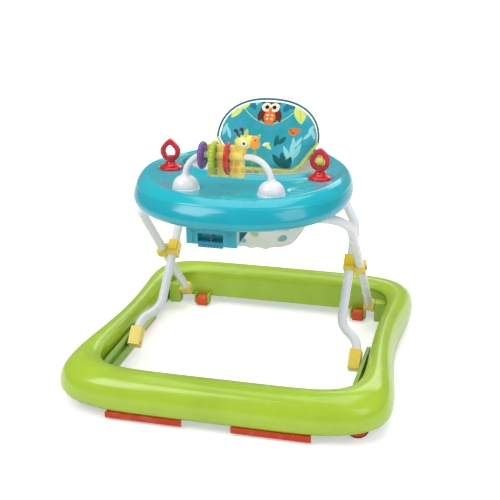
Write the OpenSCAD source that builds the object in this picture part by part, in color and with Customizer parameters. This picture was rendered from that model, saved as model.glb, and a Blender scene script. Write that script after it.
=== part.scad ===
// Folding baby walker: a wheeled ring base, two crossed tube legs, and a toy tray that carries
// the seat.  Millimetres, +Z up, the origin on the floor under the centre of the base, the front
// towards -Y.  The legs form an exact scissor, so the tray drops straight down and stays level.

/* [Base] */
// Overall width of the base ring
base_w = 690; // [660:5:720]
// Overall depth of the base ring
base_d = 686; // [660:2:700]
// Height of the rail's ridge above the floor
rail_top = 92; // [88:1:96]
// Wall of the moulded base
base_wall = 3; // [2.5:0.5:3.5]
// Height of the rail's open lower edge above the floor
rail_foot = 20; // [18:1:22]

/* [Legs] */
// Radius of the leg tubes
tube_r = 9.5; // [8.5:0.5:9.5]
// Wall of the leg tubes
tube_wall = 1.5; // [1:0.25:2]
// Distance of the rear foot pivots behind the centre
pivot_y = 222; // [216:1:226]
// Height of the rear foot pivots
pivot_z = 50; // [48:1:52]
// Rise from the foot pivots to the upper pivots, which is also their reach
leg_rise = 312; // [306:1:316]
// Half distance between the rear leg's two side tubes
rear_leg_x = 218.5; // [218.5:0.5:220]
// Half distance between the front leg's two side tubes above the crossing
front_leg_x = 196.5; // [194:0.5:196.5]

/* [Tray] */
// Overall width of the tray
tray_w = 432; // [424:2:446]
// Wall of the tray's shells
tray_wall = 2.5; // [2:0.5:3]
// Height of the joint between the tray's upper and lower shells
seam_z = 405; // [403:1:407]

/* [Casters] */
// Radius of the front caster wheels
caster_r = 21; // [19:0.5:21]
// Distance by which a caster wheel trails its swivel axis
caster_trail = 5; // [4:0.5:6]
// Radius of the rear rollers
roller_r = 13.5; // [12:0.5:13.5]

/* [Toys] */
// Height of the toy bar's straight stretch
bar_z = 503; // [500:1:506]
// Radius of the toy bar
bar_r = 6; // [5:0.25:6]
// Half span of the toy bar between its two domes
bar_half = 84; // [82:1:88]

/* [Quality] */
// Points around each moulded ring
ring_points = 64; // [48:8:72]
// Segments of a small round feature
small_fn = 48; // [32:8:64]

/* [Hidden] */

// Running clearance on a radius, and the gap left between touching pieces
run = 0.05;
gap = 0.2;
eps = 0.01;
left = -1;
right = 1;

green = "YellowGreen";
teal = "DarkTurquoise";
yellow = "Khaki";
orange = "OrangeRed";
white = "WhiteSmoke";

// ---- outlines and lofts ----

// Polar radius of a superellipse with half axes a and b and exponent n
function oval_r(q, a, b, n) =
    pow(pow(abs(cos(q)) / a, n) + pow(abs(sin(q)) / b, n), -1 / n);

// Direction of ring point i, with the points drawn towards the diagonals by the bias in degrees
function ring_angle(i, bias) = let (t = 360 * i / ring_points) t + bias * sin(4 * t);

// Clamped smooth step from 0 to 1
function ease(t) = let (c = min(1, max(0, t))) c * c * (3 - 2 * c);

function mix(a, b, t) = a + (b - a) * t;

// Unit normal on the left of a section's polyline at point i, in millimetres for a section width w
function side_normal(p, i, w) =
    let (
        a = p[max(i - 1, 0)],
        b = p[min(i + 1, len(p) - 1)],
        d = [(b[0] - a[0]) * w, b[1] - a[1]]
    )
    [-d[1], d[0]] / norm(d);

// A closed wall section: the polyline, and back along its left side at the wall's thickness
function walled(p, wall, w) = concat(
    p,
    [for (k = [1:len(p)])
        let (i = len(p) - k, n = side_normal(p, i, w)) [p[i][0] + n[0] * wall / w, p[i][1] + n[1] * wall]]
);

// A closed ring through points[station][section point]
module ring_loft(points) {
    m = len(points[0]);
    n = len(points);
    polyhedron(
        points = [for (s = points) each s],
        faces = [for (i = [0:n - 1], j = [0:m - 1])
            let (i2 = (i + 1) % n, j2 = (j + 1) % m)
            each [
                [i * m + j, i * m + j2, i2 * m + j2],
                [i * m + j, i2 * m + j2, i2 * m + j]
            ]],
        convexity = 10
    );
}

// ---- base ----

base_a = base_w / 2;
base_b = base_d / 2;
inner_a = base_a - 75;
inner_b = base_b - 77;
rail_w = 76;
corner_bias = 5;

// Share by which the waist draws the sides in at a depth y, fullest a little behind the centre
function waist(y, b, depth) = 1 - depth * pow(max(0, 1 - pow(y / b - 0.2, 2)), 1.5);

// How far a station lies within a front corner, where the rail's lip lifts clear of a caster
function corner_lift(q) = ease(1 - abs(abs(q - 270) - 45) / 16);

// The opening's wall is squarer low down, where the tracks and brackets stand, than at its top
function opening_power(z) = mix(10, 6.4, ease((z - 66) / 14));

// Point o of the way from the opening to the outside at height z, in the vertical plane i
function base_point(i, o, z) =
    let (
        q = ring_angle(i, corner_bias),
        ri = oval_r(q, inner_a, inner_b, opening_power(z)),
        ro = oval_r(q, base_a, base_b, 6),
        xi = ri * cos(q) * waist(ri * sin(q), inner_b, 0.04),
        xo = ro * cos(q) * waist(ro * sin(q), base_b, 0.115),
        lift = (z < 30 && o > 0.5) ? corner_lift(q) : 0,
        u = mix(o, max(o, o * 0.5 + 0.48), lift)
    )
    [mix(xi, xo, u), mix(ri, ro, u) * sin(q), z + 7 * lift];

// Rail section from the inner lower edge, over the ridge, to the tucked outer lower edge
rail_section = [
    [0, rail_foot], [0, 45], [0.01, 70], [0.06, 80], [0.16, 86.5], [0.29, 90.7],
    [0.42, rail_top], [0.58, 90], [0.73, 84], [0.86, 74.5], [0.95, 62], [1, 46],
    [0.99, 34], [0.95, 25], [0.88, rail_foot - 1]
];

swivel_x = 272;
swivel_y = -282;
socket_top = 79;
stem_r = 5;
track_x0 = 250.5;
track_x1 = 258.5;
track_y0 = -234;
track_y1 = -20;
track_top = 64;
bracket_x0 = 231.5;
bracket_x1 = 256.5;
bracket_y0 = 206;
bracket_y1 = 231;
bracket_top = 65;

module block(x0, x1, y0, y1, z0, z1) {
    translate([x0, y0, z0])
        cube([x1 - x0, y1 - y0, z1 - z0]);
}

// A cylinder along X from x0 to x1
module x_rod(r, x0, x1, y, z) {
    translate([x0, y, z])
        rotate([0, 90, 0])
            cylinder(r = r, h = x1 - x0, $fn = small_fn);
}

module on_side(side) {
    if (side > 0)
        children();
    else
        mirror([1, 0, 0])
            children();
}

// Moulded ring rail, open underneath
module base_shell() {
    section = walled(rail_section, -base_wall, rail_w);
    color(green)
        ring_loft([for (i = [0:ring_points - 1])
            [for (s = section) base_point(i, s[0], s[1])]]);
}

// Blind sockets inside the front corners, in which the caster stems turn
module caster_sockets() {
    color("OliveDrab")
    for (side = [left, right])
        translate([side * swivel_x, swivel_y, 50])
            difference() {
                cylinder(r = 8.5, h = socket_top - 50, $fn = small_fn);
                translate([0, 0, -1])
                    cylinder(r = stem_r + run, h = 26, $fn = small_fn);
            }
}

slot_half = 7.3;
slot_depth = 6.5;
slot_y0 = -228;
slot_y1 = -70;

// Channel in which a front foot's pin slides as the walker folds
module slide_track(side) {
    color("OliveDrab")
    on_side(side)
    difference() {
        block(track_x0, track_x1, track_y0, track_y1, rail_foot, track_top);
        block(track_x0 - 1, track_x0 + slot_depth, slot_y0, slot_y1,
              pivot_z - slot_half, pivot_z + slot_half);
    }
}

// Corner bracket that carries a rear foot's pivot pin
module pivot_bracket(side) {
    color(green)
    on_side(side)
    difference() {
        block(bracket_x0, bracket_x1, bracket_y0, bracket_y1, rail_foot, bracket_top);
        x_rod(foot_pin_r + run, bracket_x0 - 1, bracket_x0 + 20, pivot_y, pivot_z);
    }
}

pad_z = 5;
pad_len = 157;

// Rubber strip that grips the edge of a step if a wheel drops over it
module stop_pad(length, height) {
    linear_extrude(height = height)
        polygon([[-length / 2, -6], [length / 2, -6], [length / 2 - 4, 6], [-length / 2 + 4, 6]]);
}

module front_stop_pads() {
    color("Firebrick")
    for (x = [-133, 120])
        translate([x, -331, pad_z])
            stop_pad(pad_len, rail_foot - 6.4);
}

module side_stop_pads() {
    color("Firebrick")
    for (side = [left, right])
        translate([side * 274, 45, pad_z])
            rotate([0, 0, side * 90])
                stop_pad(pad_len + 40, rail_foot + 1);
}

roller_x = 188;
roller_y = 248.5;
roller_half = 13;
axle_r = 3;
fork_t = 4;

// Forks under the rear rail: two ears a side, hung from the rail's inner edge
module roller_forks() {
    color(green)
    for (side = [left, right], ear = [left, right])
        let (x = side * roller_x + ear * (roller_half + 0.6 + fork_t / 2))
        difference() {
            union() {
                block(x - fork_t / 2, x + fork_t / 2, roller_y - 9, 258.5, roller_r, 30);
                x_rod(9, x - fork_t / 2, x + fork_t / 2, roller_y, roller_r);
            }
            x_rod(axle_r, x - fork_t, x + fork_t, roller_y, roller_r);
        }
}

module roller_axles() {
    color("Silver")
    for (side = [left, right])
        x_rod(axle_r - eps, side * roller_x - 19, side * roller_x + 19, roller_y, roller_r);
}

module rear_roller(side) {
    color(orange)
    difference() {
        translate([side * roller_x, roller_y, roller_r])
            rotate([0, 90, 0])
                rotate_extrude($fn = 96)
                    polygon([[0, -roller_half], [roller_r - 2, -roller_half],
                             [roller_r, -roller_half + 2], [roller_r, roller_half - 2],
                             [roller_r - 2, roller_half], [0, roller_half]]);
        x_rod(axle_r + run, side * roller_x - 20, side * roller_x + 20, roller_y, roller_r);
    }
}

// Screw heads under each track and bracket
module base_screws() {
    color("Silver")
    for (side = [left, right])
        for (p = [[254.5, -231], [254.5, -45], [250, 214]])
            translate([side * p[0], p[1], rail_foot - 2.4 - gap])
                cylinder(r = 3.5, h = 2.4, $fn = small_fn);
}

// ---- casters ----

yoke_half = 1.75;
disc_t = 6.5;
hub_r = caster_r - 3;
yaw_right = -75;
caster_axle_r = 2.5;

// Places a caster's parts, modelled about its swivel axis with the wheel trailing to +Y
module at_caster(side) {
    yaw = side == right ? yaw_right : 0;
    translate([side * swivel_x, swivel_y, 0])
        rotate([0, 0, yaw])
            children();
}

module caster_yoke(side) {
    color(orange)
    at_caster(side) {
        difference() {
            union() {
                translate([0, 0, 46])
                    cylinder(r = 8, h = 3.5, $fn = small_fn);
                translate([0, 0, 48])
                    cylinder(r = stem_r, h = 25, $fn = small_fn);
                block(-yoke_half, yoke_half, -6, 12, caster_r + 4, 47);
                x_rod(7, -yoke_half, yoke_half, caster_trail, caster_r);
                block(-yoke_half, yoke_half, caster_trail - 6.9, caster_trail + 6.9,
                      caster_r, caster_r + 8);
            }
            x_rod(caster_axle_r + run, -5, 5, caster_trail, caster_r);
        }
    }
}

// Both discs of a twin wheel, joined by their axle through the yoke
module caster_discs(r_in, r_out, chamfer) {
    for (face = [left, right])
        translate([face * (yoke_half + 0.5 + disc_t / 2), caster_trail, caster_r])
            rotate([0, 90, 0])
                rotate_extrude($fn = 96)
                    polygon([[r_in, -disc_t / 2], [r_out - chamfer, -disc_t / 2],
                             [r_out, -disc_t / 2 + chamfer], [r_out, disc_t / 2 - chamfer],
                             [r_out - chamfer, disc_t / 2], [r_in, disc_t / 2]]);
}

module caster_wheel(side) {
    color(orange)
    at_caster(side)
        caster_discs(caster_axle_r + eps, hub_r - eps, 0.4);
}

module caster_tyre(side) {
    color("DimGray")
    at_caster(side)
        caster_discs(hub_r, caster_r, 1.2);
}

module caster_axle(side) {
    color("Silver")
    at_caster(side)
        x_rod(caster_axle_r, -yoke_half - disc_t, yoke_half + disc_t, caster_trail, caster_r);
}

// ---- legs ----

arm = leg_rise * sqrt(2);
foot_y = pivot_y - leg_rise;
top_z = pivot_z + leg_rise;
cross_y = pivot_y - leg_rise / 2;
cross_z = pivot_z + leg_rise / 2;
foot_pin_r = 4;
rivet_r = 3;
bore_r = tube_r + run;

// A leg's own plane: X stays across, Y runs up the 45 degree slope from the foot pivot, +Z faces
// up and away from the other leg
module rear_leg_plane() {
    translate([0, pivot_y, pivot_z])
        rotate([135, 0, 0])
            children();
}

module front_leg_plane() {
    translate([0, foot_y, pivot_z])
        rotate([45, 0, 0])
            children();
}

module ring_2d(r, wall) {
    difference() {
        circle(r = r, $fn = small_fn);
        if (wall > 0)
            circle(r = r - wall, $fn = small_fn);
    }
}

// A straight tube in the XY plane from point a to point b
module tube_line(a, b, r, wall) {
    d = b - a;
    translate([a[0], a[1], 0])
        rotate([0, 0, atan2(d[1], d[0])])
            rotate([0, 90, 0])
                linear_extrude(height = norm(d))
                    ring_2d(r, wall);
}

// A tube bent in the XY plane about a centre, from one heading of its radius through a sweep
module tube_bend(centre, bend_r, from, sweep, r, wall) {
    translate([centre[0], centre[1], 0])
        rotate([0, 0, from])
            rotate_extrude(angle = sweep, $fn = 96)
                translate([bend_r, 0])
                    ring_2d(r, wall);
}

rear_bend_r = 45;

// The rear leg: a U of tube with its crossbar at the top
module rear_leg_tube() {
    bend_s = arm - rear_bend_r;
    bend_x = rear_leg_x - rear_bend_r;
    color(white)
    difference() {
        rear_leg_plane() {
            for (side = [left, right])
                tube_line([side * rear_leg_x, 3], [side * rear_leg_x, bend_s], tube_r, tube_wall);
            tube_bend([bend_x, bend_s], rear_bend_r, 0, 90, tube_r, tube_wall);
            tube_bend([-bend_x, bend_s], rear_bend_r, 90, 90, tube_r, tube_wall);
            tube_line([-bend_x, arm], [bend_x, arm], tube_r, tube_wall);
        }
        for (side = [left, right]) {
            x_rod(rivet_r, side * rear_leg_x - 12, side * rear_leg_x + 12, cross_y, cross_z);
            x_rod(foot_pin_r, side * rear_leg_x - 12, side * rear_leg_x + 12, pivot_y, pivot_z);
        }
    }
}

foot_x = 236;
flare_s0 = 34;
flare_s1 = 106;
flare_turn = 50;
flare_len = flare_s1 - flare_s0;
flare_shift = foot_x - front_leg_x;
flare_r = (flare_len * sin(flare_turn) - flare_shift * cos(flare_turn))
    / (2 * (1 - cos(flare_turn)));
lean = 30;
lean_s = 300;
lean_r = 60;
lean_end = [front_leg_x - lean_r * (1 - cos(lean)), lean_s + lean_r * sin(lean)];
top_bend_r = 45;
shoulder_s = arm - top_bend_r * (1 - sin(lean));
shoulder_x = lean_end[0] - (shoulder_s - lean_end[1]) * tan(lean);
crossbar_x = shoulder_x - top_bend_r * cos(lean);
bend_grow = 0.12;

// A solid rod in the XY plane from a to b, run on by 1 mm into the bend at each end
module rod(a, b, r) {
    d = b - a;
    translate([a[0], a[1], 0])
        rotate([0, 0, atan2(d[1], d[0])])
            translate([-1, 0, 0])
                rotate([0, 90, 0])
                    cylinder(r = r, h = norm(d) + 2, $fn = small_fn);
}

// One side of the front leg: flared foot, straight shank, leaning shoulder
module front_leg_side() {
    bend_tube = tube_r + bend_grow;
    a1 = [foot_x - flare_r * (1 - cos(flare_turn)), flare_s0 + flare_r * sin(flare_turn)];
    a2 = [front_leg_x + flare_r * (1 - cos(flare_turn)), flare_s1 - flare_r * sin(flare_turn)];
    rod([foot_x, 7], [foot_x, flare_s0], tube_r);
    tube_bend([foot_x - flare_r, flare_s0], flare_r, 0, flare_turn, bend_tube, 0);
    rod(a1, a2, tube_r);
    tube_bend([front_leg_x + flare_r, flare_s1], flare_r, 180, flare_turn, bend_tube, 0);
    rod([front_leg_x, flare_s1], [front_leg_x, lean_s], tube_r);
    tube_bend([front_leg_x - lean_r, lean_s], lean_r, 0, lean, bend_tube, 0);
    rod(lean_end, [shoulder_x, shoulder_s], tube_r);
    tube_bend([crossbar_x, arm - top_bend_r], top_bend_r, lean, 90 - lean, bend_tube, 0);
}

// The front leg: a U of tube whose shanks are hollow along their straight stretch
module front_leg_tube() {
    color(white)
    difference() {
        front_leg_plane()
            union() {
                for (side = [left, right])
                    on_side(side)
                        front_leg_side();
                rod([-crossbar_x, arm], [crossbar_x, arm], tube_r);
            }
        front_leg_plane()
            for (side = [left, right])
                translate([side * front_leg_x, flare_s1 + 8, 0])
                    rotate([-90, 0, 0])
                        cylinder(r = tube_r - tube_wall, h = lean_s - flare_s1 - 16,
                                 $fn = small_fn);
        for (side = [left, right])
            x_rod(rivet_r + run, side * front_leg_x - 12, side * front_leg_x + 12,
                  cross_y, cross_z);
    }
}

// Moulded foot on the rear leg's end, bored for the tube and for the pivot pin
module rear_foot(side) {
    color(yellow)
    on_side(side)
    difference() {
        union() {
            x_rod(11, 207, 230.5, pivot_y, pivot_z);
            rear_leg_plane()
                block(207, 230.5, -3, 19, -11, 11);
        }
        rear_leg_plane()
            translate([rear_leg_x, 2.5, 0])
                rotate([-90, 0, 0])
                    cylinder(r = bore_r, h = 60, $fn = small_fn);
        x_rod(foot_pin_r + eps, 200, 240, pivot_y, pivot_z);
    }
}

module rear_foot_pins() {
    color("Silver")
    for (side = [left, right])
        on_side(side)
            x_rod(foot_pin_r - eps, 209, bracket_x0 + 18, pivot_y, pivot_z);
}

// Moulded foot on the front leg's flared end; its pin runs in the base's track
module front_foot(side) {
    color(yellow)
    on_side(side)
    difference() {
        front_leg_plane()
            block(foot_x - 12, foot_x + 12, -7, 34, -12.5, 12.5);
        front_leg_plane()
            translate([foot_x, 5.5, 0])
                rotate([-90, 0, 0])
                    cylinder(r = bore_r, h = 60, $fn = small_fn);
        x_rod(foot_pin_r + eps, 200, 260, foot_y, pivot_z);
    }
}

// Slide pins: a shaft in each front foot with a wide head in the track's slot
module slide_pins() {
    color("Silver")
    for (side = [left, right])
        on_side(side) {
            x_rod(foot_pin_r, foot_x - 8, track_x0 + 0.5, foot_y, pivot_z);
            x_rod(slot_half - 0.5, track_x0 + 0.5, track_x0 + 6, foot_y, pivot_z);
        }
}

rear_clip_x0 = 207.8;
rear_clip_x1 = 230.5;
front_clip_x0 = 184;
front_clip_x1 = 207.4;

// Collars that carry the cross rivets, one pair on each leg
module rear_leg_clip(side) {
    color(yellow)
    on_side(side)
    difference() {
        rear_leg_plane()
            union() {
                block(rear_clip_x0, rear_clip_x1, arm / 2 - 14, arm / 2 + 12, -12, 12);
                block(rear_clip_x0 + 2, rear_clip_x1 - 2, arm / 2 - 24, arm / 2 - 13, -14, -2);
            }
        rear_leg_plane()
            translate([rear_leg_x, arm / 2 - 40, 0])
                rotate([-90, 0, 0])
                    cylinder(r = bore_r, h = 80, $fn = small_fn);
        x_rod(rivet_r + eps, 200, 240, cross_y, cross_z);
    }
}

module front_leg_clip(side) {
    color(yellow)
    on_side(side)
    difference() {
        front_leg_plane()
            union() {
                block(front_clip_x0, front_clip_x1, arm / 2 - 12, arm / 2 + 22, -13, 13);
                block(front_clip_x0 + 2, front_clip_x1 - 3, arm / 2 - 2, arm / 2 + 18, 12, 16);
            }
        front_leg_plane()
            translate([front_leg_x, arm / 2 - 40, 0])
                rotate([-90, 0, 0])
                    cylinder(r = bore_r, h = 80, $fn = small_fn);
        x_rod(rivet_r + run, 180, 240, cross_y, cross_z);
    }
}

module cross_rivets() {
    color("Silver")
    for (side = [left, right])
        on_side(side) {
            x_rod(rivet_r, front_clip_x0 + 1, rear_clip_x1 + 1.5, cross_y, cross_z);
            x_rod(rivet_r + 2.5, rear_clip_x1 + gap, rear_clip_x1 + 2.5, cross_y, cross_z);
        }
}

// ---- tray ----

tray_a = tray_w / 2;
tray_cy = -56;
tray_front = 221;
tray_rear = 290;
hole_a = 150;
hole_b = 139;
hole_cy = 49;

// The play surface stands lower behind the seat than in front of it
function rear_drop(y) = mix(1, 0.42, ease((y + 110) / 240));

// The whole tray slopes down a little towards the front
function tray_tilt(y) = (y + 90) * 0.019;

// Share by which a station lies at the front, where the seam stands higher
function frontness(i) = pow(max(0, -sin(360 * i / ring_points)), 2);

// Point of a station i from [o, d, h]: o of the way from the hole to the outside and d
// millimetres on, less where the tray is narrow; h is its height over the joint
function tray_point(i, s) =
    let (
        q = ring_angle(i, 0),
        ahead = sin(q) < -eps,
        ro = oval_r(q, tray_a, ahead ? tray_front : tray_rear, ahead ? 2.25 : 1.8),
        ri = oval_r(q, hole_a, hole_b, 2.5),
        inner = [ri * cos(q), hole_cy + ri * sin(q)],
        outer = [ro * cos(q), tray_cy + ro * sin(q)],
        width = norm(outer - inner),
        p = inner + (outer - inner) * (s[0] + s[1] * min(1, width / 80) / width),
        k = s[2] > 0 ? rear_drop(p[1]) : 1
    )
    [p[0], p[1], seam_z + tray_tilt(p[1]) + s[2] * k];

// Upper shell: the collar round the hole, the toy trough and the rolled rim
top_section = [
    [0, 0, 25], [0, 0, 33], [0, 2, 37.5], [0, 6, 38], [0, 11, 35], [0, 17, 31.5],
    [0.33, -5.3, 31], [0.67, -27.7, 31], [1, -50, 35], [1, -38, 37.5], [1, -27, 34.5],
    [1, -17, 28]
];

// Where the upper shell ends at the sides and the rear, and where it ends at the front
top_end_side = [[1, -9, 20.5], [1, -6.5, 16]];
top_end_front = [[1, -16.2, 27.2], [1, -15.2, 26.2]];

// Where the lower shell starts at the sides and the rear, and where it starts at the front
under_start_side = [[1, -6, 15], [1, -4, 10.5], [1, -1.6, 4.5]];
under_start_front = [[1, -14.6, 25.4], [1, -8, 17.5], [1, -2.5, 8]];

// Lower shell: the rim's lower half, the flat underside and the inner wall behind the collar
under_section = [
    [1, 0, -1], [1, -2, -9], [1, -7, -15], [1, -14, -18.5], [1, -22, -19.5], [0.5, -5, -19.5],
    [0, 12, -19.5], [0, 5, -17], [0, 3.8, -10], [0, 3.8, 2]
];

// A tray section's inner side: each point moved along the section's normal by the wall
function tray_walled(p) = concat(
    p,
    [for (k = [1:len(p)])
        let (
            i = len(p) - k,
            a = p[max(i - 1, 0)],
            b = p[min(i + 1, len(p) - 1)],
            d = [(b[0] - a[0]) * 80 + b[1] - a[1], b[2] - a[2]],
            n = [d[1], -d[0]] / norm(d)
        )
        [p[i][0], p[i][1] + n[0] * tray_wall, p[i][2] + n[1] * tray_wall]]
);

module tray_top() {
    color(teal)
        ring_loft([for (i = [0:ring_points - 1])
            let (section = concat(top_section, mix(top_end_side, top_end_front, frontness(i))))
            [for (s = tray_walled(section)) tray_point(i, s)]]);
}

module tray_bottom() {
    color("LightSeaGreen")
        ring_loft([for (i = [0:ring_points - 1])
            let (start = mix(under_start_side, under_start_front, frontness(i)))
            [for (s = tray_walled(concat(start, under_section))) tray_point(i, s)]]);
}

// Height of the flat underside at a depth y
function under_z(y) = seam_z + tray_tilt(y) - 19.5;

// Screw heads under the tray, seen from below
module tray_screws() {
    color("Silver")
    for (p = [[-155, -110], [155, -110], [-95, -190], [95, -190], [-155, 90], [155, 90]])
        translate([p[0], p[1], under_z(p[1] - 4) - 2.5 - gap])
            cylinder(r = 4, h = 2.5, $fn = small_fn);
}

hinge_x = 45;
hinge_half = 14;

// Saddle under the tray's rear edge in which the front leg's crossbar turns
module rear_hinge(side) {
    color(teal)
    on_side(side)
    difference() {
        union() {
            x_rod(tube_r + 2.2, hinge_x - hinge_half, hinge_x + hinge_half, pivot_y, top_z);
            block(hinge_x - hinge_half, hinge_x + hinge_half, pivot_y - 30, pivot_y - 10,
                  top_z + 4, under_z(pivot_y - 30) - gap);
        }
        x_rod(bore_r, hinge_x - 40, hinge_x + 40, pivot_y, top_z);
    }
}

housing_x0 = -63;
housing_x1 = 35;
housing_y0 = -250;
housing_y1 = -95;
housing_z0 = 348.5;
channel_y0 = -229;
channel_y1 = foot_y + 14;
channel_z0 = 351;
latch_half = 24;
latch_x = -16;

// Height adjuster under the tray front: the rear leg's crossbar slides in its cross channel
module latch_housing() {
    color(teal)
    difference() {
        union() {
            block(housing_x0, housing_x1, housing_y0, housing_y1, housing_z0,
                  under_z(housing_y0) - gap);
            block(latch_x + latch_half + 2, housing_x1, housing_y0, housing_y0 + 30,
                  housing_z0 - 2.5, housing_z0 + 1);
            for (x = [-52, -47, 19, 24])
                block(x - 1, x + 1, housing_y0 - 1.5, housing_y0 + 1, housing_z0 + 4, 374);
        }
        block(housing_x0 - 5, housing_x1 + 5, channel_y0, channel_y1, channel_z0, seam_z);
        block(latch_x - latch_half - 0.5, latch_x + latch_half + 0.5, housing_y0 - 5,
              housing_y0 + 16, housing_z0 - 10, 371);
    }
}

spring_z0 = 350.2;
spring_z1 = 370.8;

// Coil spring between the squeeze latch's recess and the roof of its channel
module latch_spring() {
    turns = 4;
    steps = 16;
    wire = 0.6;
    coil = 4;
    rise = spring_z1 - spring_z0 - 2 * wire;
    count = turns * steps;
    sides = 6;
    color("Silver")
    translate([latch_x, housing_y0 + 8, spring_z0 + wire])
        polyhedron(
            points = [for (i = [0:count], j = [0:sides - 1])
                let (t = 360 * i / steps, a = 360 * j / sides, r = coil + wire * cos(a))
                [r * cos(t), r * sin(t), rise * i / count + wire * sin(a)]],
            faces = concat(
                [[for (j = [0:sides - 1]) j]],
                [[for (j = [0:sides - 1]) count * sides + sides - 1 - j]],
                [for (i = [0:count - 1], j = [0:sides - 1])
                    let (j2 = (j + 1) % sides, a = i * sides, b = (i + 1) * sides)
                    each [[a + j, b + j, b + j2], [a + j, b + j2, a + j2]]]
            ),
            convexity = 10
        );
}

// Lever squeezed upwards to free the crossbar from its notch
module squeeze_latch() {
    color("Teal")
    difference() {
        union() {
            block(latch_x - latch_half, latch_x + latch_half, housing_y0 - 1, housing_y0 + 15,
                  343.5, 355);
            for (i = [-3:3])
                block(latch_x + 6 * i - 1.5, latch_x + 6 * i + 1.5, housing_y0 - 3,
                      housing_y0, 344.5, 349);
        }
        translate([latch_x, housing_y0 + 8, 350])
            cylinder(r = 6, h = 10, $fn = small_fn);
    }
    color("Teal")
    translate([latch_x, housing_y0 + 8, 349])
        cylinder(r = 2.8, h = 8, $fn = small_fn);
}

// ---- seat ----

// Seat bucket: [height, half width, half depth, centre y] of each level, from rim to bottom
sling_levels = [
    [425, 144, 131, 49], [400, 140, 127, 49], [372, 131, 112, 47], [330, 118, 97, 52],
    [290, 101, 82, 58], [262, 84, 64, 60], [248, 58, 42, 60]
];
sling_wall = 4;

function sling_ring(level, inset) = [for (i = [0:ring_points / 2 - 1])
    let (q = 720 * i / ring_points, r = oval_r(q, level[1] - inset, level[2] - inset, 2.4))
    [r * cos(q), level[3] + r * sin(q), level[0]]];

// The fabric bucket with its two leg openings
module seat_sling() {
    m = ring_points / 2;
    k = len(sling_levels);
    outer = [for (s = sling_levels) each sling_ring(s, 0)];
    inner = [for (j = [0:k - 1])
        let (s = sling_levels[k - 1 - j], lift = j == 0 ? sling_wall : 0)
        each sling_ring([s[0] + lift, s[1], s[2], s[3]], sling_wall)];
    color("Gainsboro")
    difference() {
        polyhedron(
            points = concat(outer, inner),
            faces = concat(
                [for (j = [0:2 * k - 1], i = [0:m - 1])
                    if (j != k - 1)
                        let (i2 = (i + 1) % m, a = j * m, b = ((j + 1) % (2 * k)) * m)
                        each [[a + i, a + i2, b + i2], [a + i, b + i2, b + i]]],
                [[for (i = [0:m - 1]) (k - 1) * m + i]],
                [[for (i = [0:m - 1]) k * m + m - 1 - i]]
            ),
            convexity = 10
        );
        for (side = [left, right])
            translate([side * 62, -8, 322])
                rotate([72, 0, side * 38])
                    cylinder(r = 44, h = 150, $fn = 64);
    }
}

back_lean = 30;
back_y = 141;
back_z = 447;
back_half = 112;
back_rise = 92;

// Outline of the back panel: an arch that narrows below the tray's rim
module back_outline(inset) {
    a = back_half - inset;
    b = back_rise - inset;
    polygon(concat(
        [[60 - inset, inset - 68], [75 - inset, -53]],
        [for (q = [0:4:180]) let (r = oval_r(q, a, b, 2.3)) [r * cos(q), r * sin(q)]],
        [[inset - 75, -53], [inset - 60, inset - 68]]
    ));
}

// Places the seat back's sheets: X across, Y up the panel, +Z forwards from its front face
module back_plane() {
    translate([0, back_y, back_z])
        rotate([90 - back_lean, 0, 0])
            children();
}

arm_z0 = 434.5;
arm_y0 = 135.3;
arm_y1 = 205;

// Stiff board inside the back, with two arms that reach over the tray's rear collar
module seat_back_board() {
    color("White")
    union() {
        back_plane()
            translate([0, 0, -1])
                linear_extrude(height = 4)
                    back_outline(6);
        for (side = [left, right]) {
            block(side * 60 - 12, side * 60 + 12, arm_y0, arm_y1, arm_z0, arm_z0 + 7.5);
            block(side * 60 - 12, side * 60 + 12, arm_y1 - 15, arm_y1, 426.6, arm_z0 + 1);
        }
    }
}

// Padded fabric front of the seat back
module seat_back_pad() {
    color(teal)
    back_plane()
        translate([0, 0, 3 + gap])
            linear_extrude(height = 11)
                back_outline(0);
}

// ---- toys ----

bar_y = -179;
bar_bend_r = 45;
dome_z = 437.6;
dome_h = 22;
dome_r = 26;

module bar_plane() {
    translate([0, bar_y, 0])
        rotate([90, 0, 0])
            children();
}

// Arch of tube from dome to dome
module toy_bar() {
    corner_z = bar_z - bar_bend_r;
    corner_x = bar_half - bar_bend_r;
    color(white)
    bar_plane()
        union() {
            for (side = [left, right])
                tube_line([side * bar_half, dome_z + 6], [side * bar_half, corner_z], bar_r, 0);
            tube_bend([corner_x, corner_z], bar_bend_r, 0, 90, bar_r, 0);
            tube_bend([-corner_x, corner_z], bar_bend_r, 90, 90, bar_r, 0);
            tube_line([-corner_x, bar_z], [corner_x, bar_z], bar_r, 0);
        }
}

// Low dome that anchors an end of the toy bar
module bar_dome(side) {
    color(white)
    translate([side * bar_half, bar_y, dome_z])
        difference() {
            rotate_extrude($fn = 96)
                intersection() {
                    union() {
                        square([dome_r, 4]);
                        translate([0, 3])
                            scale([(dome_r - 1) / (dome_h - 3), 1])
                                circle(r = dome_h - 3, $fn = 96);
                    }
                    square([40, dome_h]);
                }
            translate([0, 0, 5.8])
                cylinder(r = bar_r + eps, h = 60, $fn = small_fn);
        }
}

ring_bore = 10.5;
hang_z = bar_z - 4.3;
snug_bore = 8;

// A disc threaded on the bar: rim and bore are rounded, and ribs notch the rim if asked for
module bead_disc(x, r, t, bore, ribs) {
    rim_r = t / 2;
    translate([x, bar_y, bar_z + bar_r + gap - bore])
        rotate([0, 90, 0])
            difference() {
                rotate_extrude($fn = 96)
                    union() {
                        translate([bore + 2, -rim_r])
                            square([r - rim_r - bore - 2, t]);
                        translate([r - rim_r, 0])
                            circle(r = rim_r, $fn = small_fn);
                        translate([bore, -rim_r + 1.5])
                            square([r - rim_r - bore, t - 3]);
                    }
                if (ribs > 0)
                    for (i = [0:ribs - 1])
                        rotate([0, 0, 360 * i / ribs])
                            translate([r + 1.2, 0, -t])
                                cylinder(r = 2.6, h = 2 * t, $fn = 24);
            }
}

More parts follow.
